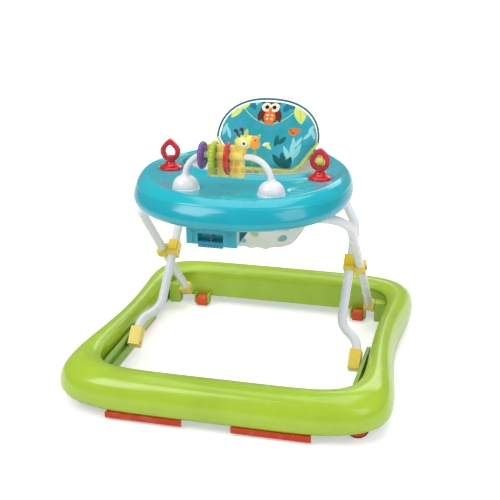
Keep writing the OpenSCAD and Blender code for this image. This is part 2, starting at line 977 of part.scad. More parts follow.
module purple_ring() {
    color("RebeccaPurple")
        bead_disc(-49, 26.5, 10, snug_bore, 0);
}

module lime_ring() {
    color("YellowGreen")
        bead_disc(-26, 31.5, 10, ring_bore, 24);
}

module red_ring() {
    color("Crimson")
        bead_disc(1, 30.5, 7, ring_bore, 0);
}

plate_t = 8;
sleeve_r = 9;
body_top = hang_z + 25;

// Flat animal body standing on the bar, with a window for each of two rings
module giraffe_body() {
    color(yellow)
    difference() {
        union() {
            bar_plane()
                translate([0, 0, -plate_t / 2])
                    linear_extrude(height = plate_t)
                        difference() {
                            union() {
                                translate([-38, hang_z - 35.5])
                                    square([70, body_top - hang_z + 35.5]);
                                for (x = [-29, -11, 7, 25])
                                    translate([x, hang_z - 31])
                                        circle(r = 6.5, $fn = small_fn);
                                polygon([[6, body_top - 1], [33, hang_z + 6], [40, body_top],
                                         [22, body_top]]);
                            }
                            translate([-32.2, hang_z - 32.3])
                                square([12.4, 70]);
                            translate([-3.6, hang_z - 32.3])
                                square([9.2, 70]);
                        }
            for (span = [[-38, -32.2], [-19.8, -3.6], [5.6, 32]])
                x_rod(sleeve_r, span[0], span[1], bar_y, bar_z);
        }
        x_rod(bar_r + run, -60, 60, bar_y, bar_z);
    }
}

head_z = 532;

// Rounded head fixed over the neck, facing along +X
module giraffe_head() {
    color(yellow)
    difference() {
        union() {
            translate([34, bar_y, head_z])
                scale(13.5)
                    sphere(r = 1, $fn = 48);
            translate([52, bar_y, head_z - 1.5])
                scale(12)
                    sphere(r = 1, $fn = 48);
            translate([34, bar_y, head_z - 1])
                rotate([0, 90, 0])
                    cylinder(r = 11.8, h = 18, $fn = 48);
            for (tilt = [-18, -50])
                translate([27, bar_y, head_z + 2])
                    rotate([0, tilt, 0]) {
                        cylinder(r = 1.6, h = 22, $fn = 24);
                        translate([0, 0, 22])
                            sphere(r = 3.4, $fn = 24);
                    }
        }
        block(-60, 80, bar_y - plate_t / 2 - gap, bar_y + plate_t / 2 + gap,
              hang_z - 60, body_top + gap);
    }
}

spinner_x = 153;
spinner_y = -60;
spinner_z = 437.1;
spinner_r = 22;
pin_top = spinner_z + 16;
loop_z = spinner_z + 32.4;

// Bell-shaped stand fixed to the tray, with the pin its loop turns on
module spinner_base(side) {
    color("Crimson")
    on_side(side)
    translate([spinner_x, spinner_y, spinner_z]) {
        rotate_extrude($fn = 96)
            difference() {
                square([spinner_r, 11]);
                translate([spinner_r + 1.5, 14])
                    circle(r = 12, $fn = small_fn);
            }
        cylinder(r = 4, h = pin_top - spinner_z, $fn = small_fn);
    }
}

// Upright loop with a pointed crown, socketed on the stand's pin
module spinner_loop(side) {
    color("Crimson")
    translate([side * spinner_x, spinner_y, loop_z])
        difference() {
            union() {
                rotate([90, 0, 0])
                    translate([0, 0, -5.5])
                        linear_extrude(height = 11)
                            difference() {
                                union() {
                                    circle(r = 21, $fn = 96);
                                    polygon([[-13, 16.5], [13, 16.5], [2.5, 25.5], [-2.5, 25.5]]);
                                    translate([0, 23.5])
                                        circle(r = 3.2, $fn = 32);
                                }
                                circle(r = 11, $fn = 96);
                            }
                translate([0, 0, -18.8])
                    cylinder(r = 7.5, h = 8, $fn = small_fn);
            }
            translate([0, 0, -30])
                cylinder(r = 4 + run, h = pin_top + 0.3 - loop_z + 30, $fn = small_fn);
            if (side == right)
                translate([0, 0, -40])
                    cylinder(r = 1.5 + run, h = 80, $fn = 32);
        }
}

// Bead that spins inside the right-hand loop on its own upright pin
module loop_bead() {
    color("Yellow")
    translate([spinner_x, spinner_y, loop_z]) {
        sphere(r = 9, $fn = 48);
        translate([0, 0, -14])
            cylinder(r = 1.5, h = 28, $fn = 32);
    }
}

// ---- assembly ----

base_shell();
slide_track(left);  // slide_track_left
slide_track(right);  // slide_track_right
pivot_bracket(left);  // pivot_bracket_left
pivot_bracket(right);  // pivot_bracket_right
front_stop_pads();
side_stop_pads();
roller_forks();
roller_axles();
caster_sockets();
base_screws();
caster_yoke(left);  // caster_yoke_left
caster_yoke(right);  // caster_yoke_right
caster_wheel(left);  // caster_wheel_left
caster_wheel(right);  // caster_wheel_right
caster_tyre(left);  // caster_tyre_left
caster_tyre(right);  // caster_tyre_right
caster_axle(left);  // caster_axle_left
caster_axle(right);  // caster_axle_right
rear_roller(left);  // rear_roller_left
rear_roller(right);  // rear_roller_right
rear_leg_tube();
rear_foot(left);  // rear_foot_left
rear_foot(right);  // rear_foot_right
rear_foot_pins();
rear_leg_clip(left);  // rear_leg_clip_left
rear_leg_clip(right);  // rear_leg_clip_right
cross_rivets();
front_leg_tube();
front_foot(left);  // front_foot_left
front_foot(right);  // front_foot_right
slide_pins();
front_leg_clip(left);  // front_leg_clip_left
front_leg_clip(right);  // front_leg_clip_right
tray_top();
tray_bottom();
tray_screws();
rear_hinge(left);  // rear_hinge_left
rear_hinge(right);  // rear_hinge_right
latch_housing();
latch_spring();
squeeze_latch();
seat_sling();
seat_back_board();
seat_back_pad();
toy_bar();
bar_dome(left);  // bar_dome_left
bar_dome(right);  // bar_dome_right
purple_ring();
lime_ring();
red_ring();
giraffe_body();
giraffe_head();
spinner_base(left);  // spinner_base_left
spinner_base(right);  // spinner_base_right
spinner_loop(left);  // spinner_loop_left
spinner_loop(right);  // spinner_loop_right
loop_bead();
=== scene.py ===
"""Looks of the folding baby walker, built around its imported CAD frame.

Metres, +Z up, the front towards -Y, the origin on the floor under the centre of the base ring.
"""

import math

import bmesh
import bpy
import numpy as np
from mathutils import Matrix, Vector
from mathutils.bvhtree import BVHTree


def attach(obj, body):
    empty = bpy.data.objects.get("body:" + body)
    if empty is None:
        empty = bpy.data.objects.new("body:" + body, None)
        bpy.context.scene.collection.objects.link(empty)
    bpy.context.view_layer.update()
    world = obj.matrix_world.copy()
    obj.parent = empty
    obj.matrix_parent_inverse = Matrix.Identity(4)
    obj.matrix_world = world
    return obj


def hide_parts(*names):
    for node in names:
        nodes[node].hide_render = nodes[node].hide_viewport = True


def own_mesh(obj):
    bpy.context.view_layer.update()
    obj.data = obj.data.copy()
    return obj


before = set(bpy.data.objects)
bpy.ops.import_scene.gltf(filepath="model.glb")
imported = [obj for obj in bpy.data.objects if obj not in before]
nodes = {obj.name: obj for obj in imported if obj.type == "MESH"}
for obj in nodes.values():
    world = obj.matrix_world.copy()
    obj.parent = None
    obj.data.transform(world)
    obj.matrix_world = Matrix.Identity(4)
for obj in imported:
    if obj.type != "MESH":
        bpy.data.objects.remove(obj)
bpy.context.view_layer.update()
scene = bpy.context.scene
MM = 0.001
WORN_EDGE = 0.51, 0.58
MOTIF_BLUR = 0.06


# ---- shaders ----


def srgb(r, g, b):
    """Linear colour of a 0-255 display colour."""
    return tuple(((c / 255 + 0.055) / 1.055) ** 2.4 if c > 10 else c / 3295 for c in (r, g, b)) + (1.0,)


def scaled(colour, k):
    return tuple(min(1.0, c * k) for c in colour[:3]) + (1.0,)


class Shader:
    """A material's node tree, with a short call for each kind of node used here."""

    def __init__(self, name):
        self.material = bpy.data.materials.new(name)
        self.material.use_nodes = True
        self.tree = self.material.node_tree
        self.bsdf = self.tree.nodes["Principled BSDF"]
        self.place = self.make("ShaderNodeTexCoord").outputs["Object"]

    def make(self, kind, values=(), **settings):
        node = self.tree.nodes.new(kind)
        for key, value in settings.items():
            setattr(node, key, value)
        for key, value in dict(values).items():
            self.put(node.inputs[key], value)
        return node

    def put(self, socket, value):
        if isinstance(value, bpy.types.NodeSocket):
            self.tree.links.new(value, socket)
        else:
            socket.default_value = value

    def set(self, **values):
        for key, value in values.items():
            self.put(self.bsdf.inputs[key.replace("_", " ")], value)

    def noise(self, scale, detail, stretch=None, distortion=0.0):
        vector = self.place
        if stretch:
            vector = self.make("ShaderNodeMapping", {"Vector": vector, "Scale": stretch}).outputs[0]
        values = {"Vector": vector, "Scale": scale, "Detail": detail, "Distortion": distortion}
        return self.make("ShaderNodeTexNoise", values).outputs[0]

    def ramp(self, value, low, high, a=0.0, b=1.0):
        values = {"Value": value, "From Min": low, "From Max": high, "To Min": a, "To Max": b}
        return self.make("ShaderNodeMapRange", values).outputs[0]

    def math(self, operation, a, b=0.0):
        node = self.make("ShaderNodeMath", operation=operation)
        self.put(node.inputs[0], a)
        self.put(node.inputs[1], b)
        return node.outputs[0]

    def mix(self, factor, a, b):
        node = self.make("ShaderNodeMix", data_type="RGBA")
        self.put(node.inputs[0], factor)
        self.put(node.inputs[6], a)
        self.put(node.inputs[7], b)
        return node.outputs[2]

    def bump(self, height, distance, strength, normal=None):
        node = self.make("ShaderNodeBump", {"Height": height, "Distance": distance, "Strength": strength})
        if normal is not None:
            self.put(node.inputs["Normal"], normal)
        return node.outputs[0]

    def edges(self):
        """1 on worn convex edges, 0 on flat faces."""
        return self.ramp(self.make("ShaderNodeNewGeometry").outputs["Pointiness"], *WORN_EDGE)

    def split(self, vector=None):
        node = self.make("ShaderNodeSeparateXYZ", {0: vector or self.place})
        return node.outputs[0], node.outputs[1], node.outputs[2]

    def motif(self, vector, kind, centre, size, turn=0):
        """Mask of a disc, a pointed leaf or a bar, in coordinates where it spans -1 to 1."""
        values = {
            "Vector": vector,
            "Location": (centre[0], centre[1], 0),
            "Rotation": (0, 0, math.radians(turn)),
            "Scale": (size[0], size[1], 1),
        }
        node = self.make("ShaderNodeMapping", values, vector_type="TEXTURE")
        x, y, _ = self.split(node.outputs[0])
        if kind == "leaf":
            inside = self.math("SUBTRACT", self.math("SUBTRACT", 1.0, self.math("MULTIPLY", x, x)),
                               self.math("ABSOLUTE", y))
            return self.ramp(inside, -MOTIF_BLUR, MOTIF_BLUR)
        if kind == "bar":
            far = self.math("MAXIMUM", self.math("ABSOLUTE", x), self.math("ABSOLUTE", y))
        else:
            squares = self.math("ADD", self.math("MULTIPLY", x, x), self.math("MULTIPLY", y, y))
            far = self.math("SQRT", squares)
        return self.ramp(far, 1 - MOTIF_BLUR, 1 + MOTIF_BLUR, 1, 0)

    def paint(self, base, vector, motifs):
        for kind, centre, size, turn, colour in motifs:
            mask = self.motif(vector, kind, [c * MM for c in centre], [c * MM for c in size], turn)
            base = self.mix(mask, base, srgb(*colour))
        return base


def plastic(name, rgb, rough=0.24, coat=0.35, tone=0.05, wear=0.3, base=None):
    """Moulded plastic: cloudy tone, satin edges where hands rub, fine grain and faint scratches."""
    s = Shader(name)
    colour = srgb(*rgb)
    cloud = s.noise(16, 4)
    if base:
        shade = base(s, colour)
    else:
        shade = s.mix(s.ramp(cloud, 0.32, 0.68), scaled(colour, 1 - tone), scaled(colour, 1 + tone))
    shade = s.mix(s.math("MULTIPLY", s.edges(), wear), shade, s.mix(0.35, shade, (1, 1, 1, 1)))
    fine = s.noise(1400, 2)
    scratch = s.noise(140, 3, stretch=(1, 14, 3), distortion=0.6)
    gloss = s.ramp(s.noise(34, 5), 0.3, 0.7, rough * 0.8, rough * 1.3)
    gloss = s.math("ADD", gloss, s.ramp(scratch, 0.6, 0.75, 0, 0.08))
    normal = s.bump(fine, 0.00004, 0.5)
    normal = s.bump(s.noise(22, 2), 0.0006, 0.12, normal)
    s.set(Base_Color=shade, Roughness=gloss, Normal=normal, Coat_Weight=coat, Coat_Roughness=0.12,
          Subsurface_Weight=0.03, Subsurface_Scale=0.004)
    return s.material


def rubber(name, rgb, rough=0.6):
    s = Shader(name)
    colour = srgb(*rgb)
    dust = s.ramp(s.noise(45, 5), 0.5, 0.75)
    shade = s.mix(dust, colour, s.mix(0.25, colour, srgb(190, 170, 155)))
    grain = s.noise(700, 3)
    s.set(Base_Color=shade, Roughness=s.ramp(s.noise(60, 4), 0.3, 0.7, rough - 0.1, rough + 0.12),
          Normal=s.bump(grain, 0.00015, 0.7), Specular_IOR_Level=0.4)
    return s.material


def metal(name, rgb, rough):
    s = Shader(name)
    colour = srgb(*rgb)
    brushed = s.noise(260, 3, stretch=(1, 22, 22))
    shade = s.mix(s.ramp(s.noise(120, 4), 0.4, 0.7), colour, scaled(colour, 0.8))
    s.set(Base_Color=shade, Metallic=1.0, Roughness=s.ramp(brushed, 0.3, 0.7, rough * 0.7, rough * 1.5),
          Normal=s.bump(brushed, 0.00003, 0.6))
    return s.material


def painted_tube(name, rgb):
    """Powder-coated steel tube: orange-peel skin with a few dull scuffs."""
    s = Shader(name)
    colour = srgb(*rgb)
    scuff = s.ramp(s.noise(60, 6, distortion=1.2), 0.62, 0.72)
    shade = s.mix(s.math("MULTIPLY", scuff, 0.3), colour, srgb(176, 176, 178))
    s.set(Base_Color=shade, Roughness=s.ramp(s.noise(40, 3), 0.3, 0.7, 0.2, 0.32),
          Normal=s.bump(s.noise(900, 1), 0.00006, 0.5), Coat_Weight=0.5, Coat_Roughness=0.1)
    return s.material


THREAD_PITCH = 0.9


def weave(s):
    """Normal and height of a plain weave."""
    turns = 2 * math.pi / (THREAD_PITCH * MM)
    x, y, z = s.split()
    warp = s.math("SINE", s.math("MULTIPLY", x, turns))
    weft = s.math("SINE", s.math("MULTIPLY", s.math("ADD", y, z), turns))
    threads = s.math("MULTIPLY", warp, weft)
    fuzz = s.ramp(s.noise(1500, 3), 0.3, 0.7, -0.5, 0.5)
    normal = s.bump(s.math("ADD", threads, fuzz), 0.00012, 0.7)
    return s.bump(s.noise(55, 4), 0.0012, 0.35, normal), threads


def cloth(name, rgb, base=None):
    s = Shader(name)
    colour = srgb(*rgb)
    normal, threads = weave(s)
    shade = base(s, colour) if base else colour
    shade = s.mix(s.ramp(s.noise(30, 4), 0.35, 0.7), shade, s.mix(0.06, shade, (0, 0, 0, 1)))
    shade = s.mix(s.ramp(threads, -1, 1, 0, 0.1), shade, s.mix(0.5, shade, (0, 0, 0, 1)))
    s.set(Base_Color=shade, Roughness=s.ramp(s.noise(90, 3), 0.3, 0.7, 0.72, 0.9), Normal=normal,
          Sheen_Weight=0.25, Sheen_Roughness=0.4, Specular_IOR_Level=0.25)
    return s.material


# ---- prints ----

LEAF = (222, 236, 118)
LEAF_SHADE = (176, 208, 92)
DEEP = (14, 124, 148)
AQUA = (150, 226, 230)
BROWN = (84, 30, 34)
CREAM = (252, 238, 212)
TANGERINE = (242, 126, 44)
INK = (38, 20, 34)

# Leaves, a flower, an owl, a small bird and a striped log: kind, centre, half size in mm, turn, colour
PANEL_PRINT = [
    ("leaf", (-50, 77), (14, 9), 20, DEEP),
    ("leaf", (-38, 73), (12, 7), -60, DEEP),
    ("leaf", (46, 77), (15, 9), -20, DEEP),
    ("leaf", (36, 71), (12, 7), 60, DEEP),
    ("leaf", (-72, 61), (22, 9.5), 58, LEAF),
    ("bar", (-72, 61), (18, 0.5), 58, LEAF_SHADE),
    ("leaf", (-58, 71), (13, 7), 20, LEAF),
    ("leaf", (66, 62), (27, 13), -78, LEAF),
    ("bar", (66, 62), (22, 0.7), -78, LEAF_SHADE),
    ("leaf", (80, 69), (14, 8), -50, LEAF_SHADE),
    ("disc", (-31, 84), (2.6, 4.4), 0, AQUA),
    ("disc", (-35, 81), (4.4, 2.6), 0, AQUA),
    ("disc", (-27, 81), (4.4, 2.6), 0, AQUA),
    ("disc", (-31, 78), (2.6, 4.4), 0, AQUA),
    ("disc", (-31, 81), (1.6, 1.6), 0, CREAM),
    ("leaf", (93, 25), (13, 4), 70, AQUA),
    ("leaf", (99, 17), (13, 4), 110, AQUA),
    ("leaf", (87, 11), (12, 3.5), 45, AQUA),
    ("leaf", (60, -7), (15, 4), 100, AQUA),
    ("leaf", (70, -3), (14, 4), 60, AQUA),
    ("leaf", (-94, 17), (15, 4.5), 75, AQUA),
    ("leaf", (-84, 9), (14, 4), 110, AQUA),
    ("leaf", (-20, -1), (13, 5), 60, LEAF_SHADE),
    ("leaf", (-32, -3), (12, 5), 115, (90, 170, 110)),
    ("leaf", (22, -3), (14, 5), 80, (20, 110, 110)),
    ("leaf", (34, -2), (13, 5), 45, (20, 110, 110)),
    ("disc", (56, 19), (10, 8.5), 0, TANGERINE),
    ("leaf", (66, 22), (8, 4), 35, TANGERINE),
    ("disc", (50, 22), (1.6, 1.6), 0, INK),
    ("leaf", (55, 16), (5, 2.2), -20, (200, 84, 30)),
    ("leaf", (-14, 86), (10, 5), 62, BROWN),
    ("leaf", (16, 86), (10, 5), 118, BROWN),
    ("disc", (1, 58), (22, 25), 0, BROWN),
    ("disc", (1, 48), (13, 15), 0, TANGERINE),
    ("disc", (-4, 52), (3.2, 2.0), 20, CREAM),
    ("disc", (6, 52), (3.2, 2.0), -20, CREAM),
    ("disc", (-4, 44), (3.2, 2.0), 20, CREAM),
    ("disc", (6, 44), (3.2, 2.0), -20, CREAM),
    ("leaf", (-18, 53), (17, 7), 75, (112, 44, 40)),
    ("leaf", (20, 53), (17, 7), 105, (112, 44, 40)),
    ("disc", (-8, 70), (10.5, 10.5), 0, CREAM),
    ("disc", (10, 70), (10.5, 10.5), 0, CREAM),
    ("disc", (-7, 70), (4.6, 4.6), 0, INK),
    ("disc", (9, 70), (4.6, 4.6), 0, INK),
    ("disc", (-5.6, 76.8), (1.4, 1.4), 0, CREAM),
    ("disc", (10.4, 76.8), (1.4, 1.4), 0, CREAM),
    ("leaf", (1, 64), (6, 3.6), 90, TANGERINE),
    ("leaf", (58, -26), (23, 5), 95, AQUA),
    ("leaf", (68, -24), (20, 5), 65, AQUA),
    ("leaf", (48, -30), (20, 5), 120, AQUA),
    ("leaf", (40, -46), (20, 7), 100, (12, 100, 100)),
    ("leaf", (52, -50), (16, 7), 70, (12, 100, 100)),
    ("leaf", (28, -46), (18, 6), 130, (12, 100, 100)),
    ("leaf", (-24, -42), (19, 6), 80, (120, 190, 110)),
    ("leaf", (-36, -44), (16, 6), 115, (90, 170, 110)),
    ("leaf", (-12, -46), (17, 6), 55, (90, 170, 110)),
    ("leaf", (-62, -30), (20, 5), 100, AQUA),
    ("leaf", (0, -12), (9, 4), 20, CREAM),
    ("leaf", (6, -17), (9, 4), -40, LEAF),
    ("bar", (46, -63), (11, 3.5), 0, CREAM),
    ("bar", (38, -63), (1.3, 3.5), 0, INK),
    ("bar", (44, -63), (1.3, 3.5), 0, INK),
    ("bar", (50, -63), (1.3, 3.5), 0, INK),
]
VINE_LOW = 33
VINE_CURVE = 10.0
VINE_END = 0.058


def panel_base(s, colour):
    """The seat back's print: hazy teal, a sagging vine, leaves and a small owl."""
    haze = s.ramp(s.noise(26, 3), 0.4, 0.65)
    ground = s.mix(haze, colour, srgb(62, 172, 196))
    x, y, _ = s.split()
    sag = s.math("ADD", s.math("MULTIPLY", s.math("MULTIPLY", x, x), VINE_CURVE), VINE_LOW * MM)
    off = s.math("ABSOLUTE", s.math("SUBTRACT", y, sag))
    between = s.ramp(s.math("ABSOLUTE", x), VINE_END, VINE_END + 0.002, 1, 0)
    vine = s.math("MULTIPLY", s.ramp(off, 0.0007, 0.0011, 1, 0), between)
    ground = s.mix(vine, ground, srgb(200, 240, 150))
    ground = s.paint(ground, s.place, PANEL_PRINT)
    for side in (-1, 1):
        foot = s.motif(s.place, "disc", [(1 + side * 7) * MM, 34 * MM], [4.2 * MM, 3 * MM])
        ground = s.mix(foot, ground, srgb(*TANGERINE))
    return ground


def lining_base(s, colour):
    """White lining scattered with leaves."""
    cells = s.make("ShaderNodeTexVoronoi", {"Vector": s.place, "Scale": 26.0, "Randomness": 0.8})
    spot = s.ramp(cells.outputs["Distance"], 0.30, 0.34, 1, 0)
    hue = s.make("ShaderNodeSeparateColor", {0: cells.outputs["Color"]}).outputs[0]
    leaf = s.mix(s.ramp(hue, 0.45, 0.5), srgb(150, 205, 110), srgb(60, 175, 185))
    leaf = s.mix(s.ramp(hue, 0.8, 0.82), leaf, srgb(240, 150, 80))
    vein = s.ramp(s.math("ABSOLUTE", s.math("SINE", s.math("MULTIPLY", s.split()[2], 900.0))), 0.2, 0.4)
    return s.mix(spot, colour, s.mix(s.math("MULTIPLY", vein, 0.25), leaf, (1, 1, 1, 1)))


def giraffe_base(s, colour):
    """Yellow with rounded orange patches."""
    cells = s.make("ShaderNodeTexVoronoi", {"Vector": s.place, "Scale": 70.0, "Randomness": 0.6})
    patch = s.ramp(cells.outputs["Distance"], 0.36, 0.4, 1, 0)
    return s.mix(patch, colour, srgb(248, 190, 70))


LOOP_Z = 469.5
LOOP_RISE = 32.4


def insert_base(s, colour):
    """Yellow bead whose lower half is lime."""
    z = s.split()[2]
    wave = s.math("ADD", z, s.ramp(s.noise(60, 1), 0.3, 0.7, -0.002, 0.002))
    return s.mix(s.ramp(wave, (LOOP_Z - 2.5) * MM, (LOOP_Z - 1.5) * MM), srgb(178, 212, 70), colour)


TOY = {"coat": 0.5, "wear": 0.08}
FACE = {"coat": 0.4, "wear": 0.08}

mat = {
    "base": plastic("base_green", (172, 204, 52), rough=0.2, coat=0.4, wear=0.1),
    "track": plastic("track_green", (140, 178, 52), rough=0.36, coat=0.1),
    "stop": rubber("stop_red", (204, 62, 26)),
    "wheel": plastic("wheel_orange", (238, 84, 24), rough=0.34, coat=0.15),
    # The caster tyres are painted a dark red-brown: painted shade standing in for the shadowed tread of the
    # orange wheels.
    "tyre": rubber("tyre_dark", (74, 30, 24), rough=0.5),
    "steel": metal("steel", (196, 198, 202), rough=0.26),
    "tube": painted_tube("tube_white", (236, 237, 242)),
    "clip": plastic("clip_yellow", (245, 214, 40), rough=0.3, coat=0.2),
    "tray": plastic("tray_teal", (18, 182, 198), rough=0.15, coat=0.5, wear=0.06),
    # The lower tray shell and the rear hinges use a darker copy of the tray teal: painted shade on the
    # underside.
    "under": plastic("tray_under", (14, 170, 188), rough=0.18, coat=0.45, wear=0.06),
    "housing": plastic("housing_teal", (24, 166, 182), rough=0.26, coat=0.3),
    "latch": plastic("latch_teal", (20, 140, 165), rough=0.34, coat=0.1),
    "lining": cloth("seat_lining", (244, 244, 240), base=lining_base),
    "panel": cloth("back_print", (40, 164, 178), base=panel_base),
    "piping": cloth("piping_teal", (22, 120, 138)),
    "lime_piping": cloth("piping_lime", (196, 222, 70)),
    "white_piping": cloth("piping_white", (240, 240, 236)),
    "board": plastic("board_white", (240, 240, 238), rough=0.4, coat=0.05),
    "toy_white": plastic("toy_white", (240, 240, 244), rough=0.18, coat=0.5, tone=0.02),
    "purple": plastic("toy_purple", (118, 66, 158), rough=0.2, **TOY),
    "lime": plastic("toy_lime", (172, 204, 58), rough=0.2, **TOY),
    "red": plastic("toy_red", (214, 8, 26), rough=0.16, coat=0.6, wear=0.08),
    "yellow": plastic("toy_yellow", (252, 232, 104), base=giraffe_base, **FACE),
    "head": plastic("head_yellow", (252, 232, 112), **FACE),
    "snout": plastic("snout_orange", (252, 166, 58), rough=0.26, coat=0.35, wear=0.08),
    "horn": plastic("horn_purple", (58, 24, 70), **FACE),
    "ear": plastic("ear_green", (190, 222, 120), rough=0.26, coat=0.35, wear=0.08),
    "eye_white": plastic("eye_white", (250, 250, 250), rough=0.12, coat=0.6, tone=0.01),
    "ink": plastic("eye_ink", (28, 14, 26), rough=0.1, coat=0.7),
    "insert": plastic("insert_yellow", (250, 224, 96), base=insert_base, **FACE),
}


# ---- mesh helpers ----


def linked(name, data):
    obj = bpy.data.objects.new(name, data)
    scene.collection.objects.link(obj)
    return obj


def rework(mesh, change=None):
    """Applies change to the mesh as a bmesh, then turns its faces outwards."""
    bm = bmesh.new()
    bm.from_mesh(mesh)
    if change:
        change(bm)
    bmesh.ops.recalc_face_normals(bm, faces=bm.faces)
    bm.to_mesh(mesh)
    bm.free()


def make_mesh(name, verts, faces, material, smooth=40):
    mesh = bpy.data.meshes.new(name)
    mesh.from_pydata([tuple(v) for v in verts], [], [tuple(f) for f in faces])
    rework(mesh)
    mesh.materials.append(material)
    shade(mesh, smooth)
    return linked(name, mesh)


def recolour(mesh, material):
    mesh.materials.clear()
    mesh.materials.append(material)


def shade(mesh, angle):
    mesh.shade_smooth()
    mesh.set_sharp_from_angle(angle=math.radians(angle))


def place(obj, body, replaces=()):
    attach(obj, body)
    if replaces:
        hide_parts(*replaces)
    return obj


def moved(x, y, z):
    """Shift by millimetres."""
    return Matrix.Translation(Vector((x, y, z)) * MM)


def turned(degrees, axis):
    return Matrix.Rotation(math.radians(degrees), 4, axis)


def curve_through(points, per_span=6):
    """Centripetal Catmull-Rom curve through the points, ends included."""
    p = np.array(points, float)
    p = np.vstack([2 * p[0] - p[1], p, 2 * p[-1] - p[-2]])
    out = []
    for i in range(1, len(p) - 2):
        a, b, c, d = p[i - 1:i + 3]
        t0 = 0.0
        t1 = t0 + math.sqrt(np.linalg.norm(b - a))
        t2 = t1 + math.sqrt(np.linalg.norm(c - b))
        t3 = t2 + math.sqrt(np.linalg.norm(d - c))
        for t in np.linspace(t1, t2, per_span, endpoint=False):
            a1 = (t1 - t) / (t1 - t0) * a + (t - t0) / (t1 - t0) * b
            a2 = (t2 - t) / (t2 - t1) * b + (t - t1) / (t2 - t1) * c
            a3 = (t3 - t) / (t3 - t2) * c + (t - t2) / (t3 - t2) * d
            b1 = (t2 - t) / (t2 - t0) * a1 + (t - t0) / (t2 - t0) * a2
            b2 = (t3 - t) / (t3 - t1) * a2 + (t - t1) / (t3 - t1) * a3
            out.append((t2 - t) / (t2 - t1) * b1 + (t - t1) / (t2 - t1) * b2)
    out.append(p[-2])
    return np.array(out)


def walled(section, wall, width):
    """Closed wall section through (share, height) points with rounded lips, on the left if wall > 0."""
    line = curve_through([(o * width, h) for o, h in section])
    ahead = np.gradient(line, axis=0)
    ahead /= np.linalg.norm(ahead, axis=1)[:, None]
    side = np.stack([-ahead[:, 1], ahead[:, 0]], 1)
    back = (line + side * wall)[::-1]
    half = abs(wall) / 2
    lips = []
    for point, way, normal in ((line[-1], ahead[-1], side[-1]), (line[0], -ahead[0], side[0])):
        mid = point + normal * wall / 2
        flip = 1 if point is line[-1] else -1
        lips.append([mid - flip * normal * math.copysign(half, wall) * math.cos(t) + way * half * math.sin(t)
                     for t in np.radians((45, 90, 135))])
    whole = np.vstack([line, lips[0], back, lips[1]])
    return [(x / width, h) for x, h in whole]


def grid_faces(rows, cols, wrap_rows=True, wrap_cols=True):
    faces = []
    for i in range(rows if wrap_rows else rows - 1):
        for j in range(cols if wrap_cols else cols - 1):
            a, b = i, (i + 1) % rows
            c, d = j, (j + 1) % cols
            faces.append((a * cols + c, a * cols + d, b * cols + d, b * cols + c))
    return faces


def ring_mesh(name, stations, section, point, material):
    verts = [[c * MM for c in point(360 * i / stations, o, h)] for i in range(stations) for o, h in section]
    return make_mesh(name, verts, grid_faces(stations, len(section)), material)


def filleted(corners, radii, step=5):
    """Polyline through the corners of a plane path, with each inner corner rounded."""
    pts = [np.array(corners[0], float)]
    for i in range(1, len(corners) - 1):
        here = np.array(corners[i], float)
        back = np.array(corners[i - 1], float) - here
        on = np.array(corners[i + 1], float) - here
        back /= np.linalg.norm(back)
        on /= np.linalg.norm(on)
        half = math.acos(max(-1, min(1, float(back @ on)))) / 2
        r = radii[i - 1]
        mid = back + on
        centre = here + mid / np.linalg.norm(mid) * r / math.sin(half)
        first = here + back * r / math.tan(half) - centre
        last = here + on * r / math.tan(half) - centre
        sweep = math.pi - 2 * half
        count = max(2, int(math.degrees(sweep) / step))
        for k in range(count + 1):
            t = k / count
            w = math.sin((1 - t) * sweep) * first + math.sin(t * sweep) * last
            pts.append(centre + w / math.sin(sweep))
    pts.append(np.array(corners[-1], float))
    return pts


def tube(name, path, radius, material, segments, closed=False, round_ends=True):
    """Round tube along 3-D points in metres; a radius list tapers it."""
    path = [Vector(p) for p in path]
    n = len(path)
    radii = radius if isinstance(radius, (list, tuple)) else [radius] * n
    if not closed and round_ends:
        for end, at in ((0, 0), (-1, n)):
            way = (path[0] - path[1] if end == 0 else path[-1] - path[-2]).normalized()
            tip, r = path[end], radii[end]
            extra = [(tip + way * r * 0.35 * k, r * f) for k, f in ((0.5, 0.93), (0.9, 0.7), (1.0, 0.05))]
            if end == 0:
                path = [p for p, _ in reversed(extra)] + path
                radii = [f for _, f in reversed(extra)] + list(radii)
            else:
                path = path + [p for p, _ in extra]
                radii = list(radii) + [f for _, f in extra]
        n = len(path)
    ways = [((path[(i + 1) % n] if closed or i < n - 1 else path[i])
             - (path[i - 1] if closed or i > 0 else path[i])).normalized() for i in range(n)]
    up = ways[0].orthogonal().normalized()
    verts = []
    for i, way in enumerate(ways):
        up = (up - way * up.dot(way)).normalized()
        across = way.cross(up)
        for j in range(segments):
            a = 2 * math.pi * j / segments
            verts.append(path[i] + (up * math.cos(a) + across * math.sin(a)) * radii[i])
    faces = grid_faces(n, segments, wrap_rows=closed)
    if not closed:
        faces += [tuple(range(segments)), tuple(range((n - 1) * segments, n * segments))]
    return make_mesh(name, verts, faces, material, 50)


def lathe(name, profile, matrix, material, segments=96, wave=None, smooth=60):
    """Turns (radius, height) points in mm about Z; wave(angle, r, z) may change the radius."""
    verts = []
    for i in range(segments):
        a = 2 * math.pi * i / segments
        for r, z in profile:
            k = wave(a, r, z) if wave else r
            verts.append(matrix @ Vector((k * math.cos(a) * MM, k * math.sin(a) * MM, z * MM)))
    faces = grid_faces(segments, len(profile), wrap_cols=False)
    closed = abs(profile[0][0] - profile[-1][0]) < 1e-6 and abs(profile[0][1] - profile[-1][1]) < 1e-6
    obj = make_mesh(name, verts, faces, material, smooth)
    weld(obj, 1e-6 if closed else 1e-7)
    shade(obj.data, smooth)
    return obj


def eased(profile):
    """A lathe profile whose points are joined smoothly, except its two ends near the axis."""
    return [profile[0]] + [tuple(p) for p in curve_through(profile[1:-1], 4)] + [profile[-1]]


def weld(obj, distance):
    rework(obj.data, lambda bm: bmesh.ops.remove_doubles(bm, verts=bm.verts, dist=distance))


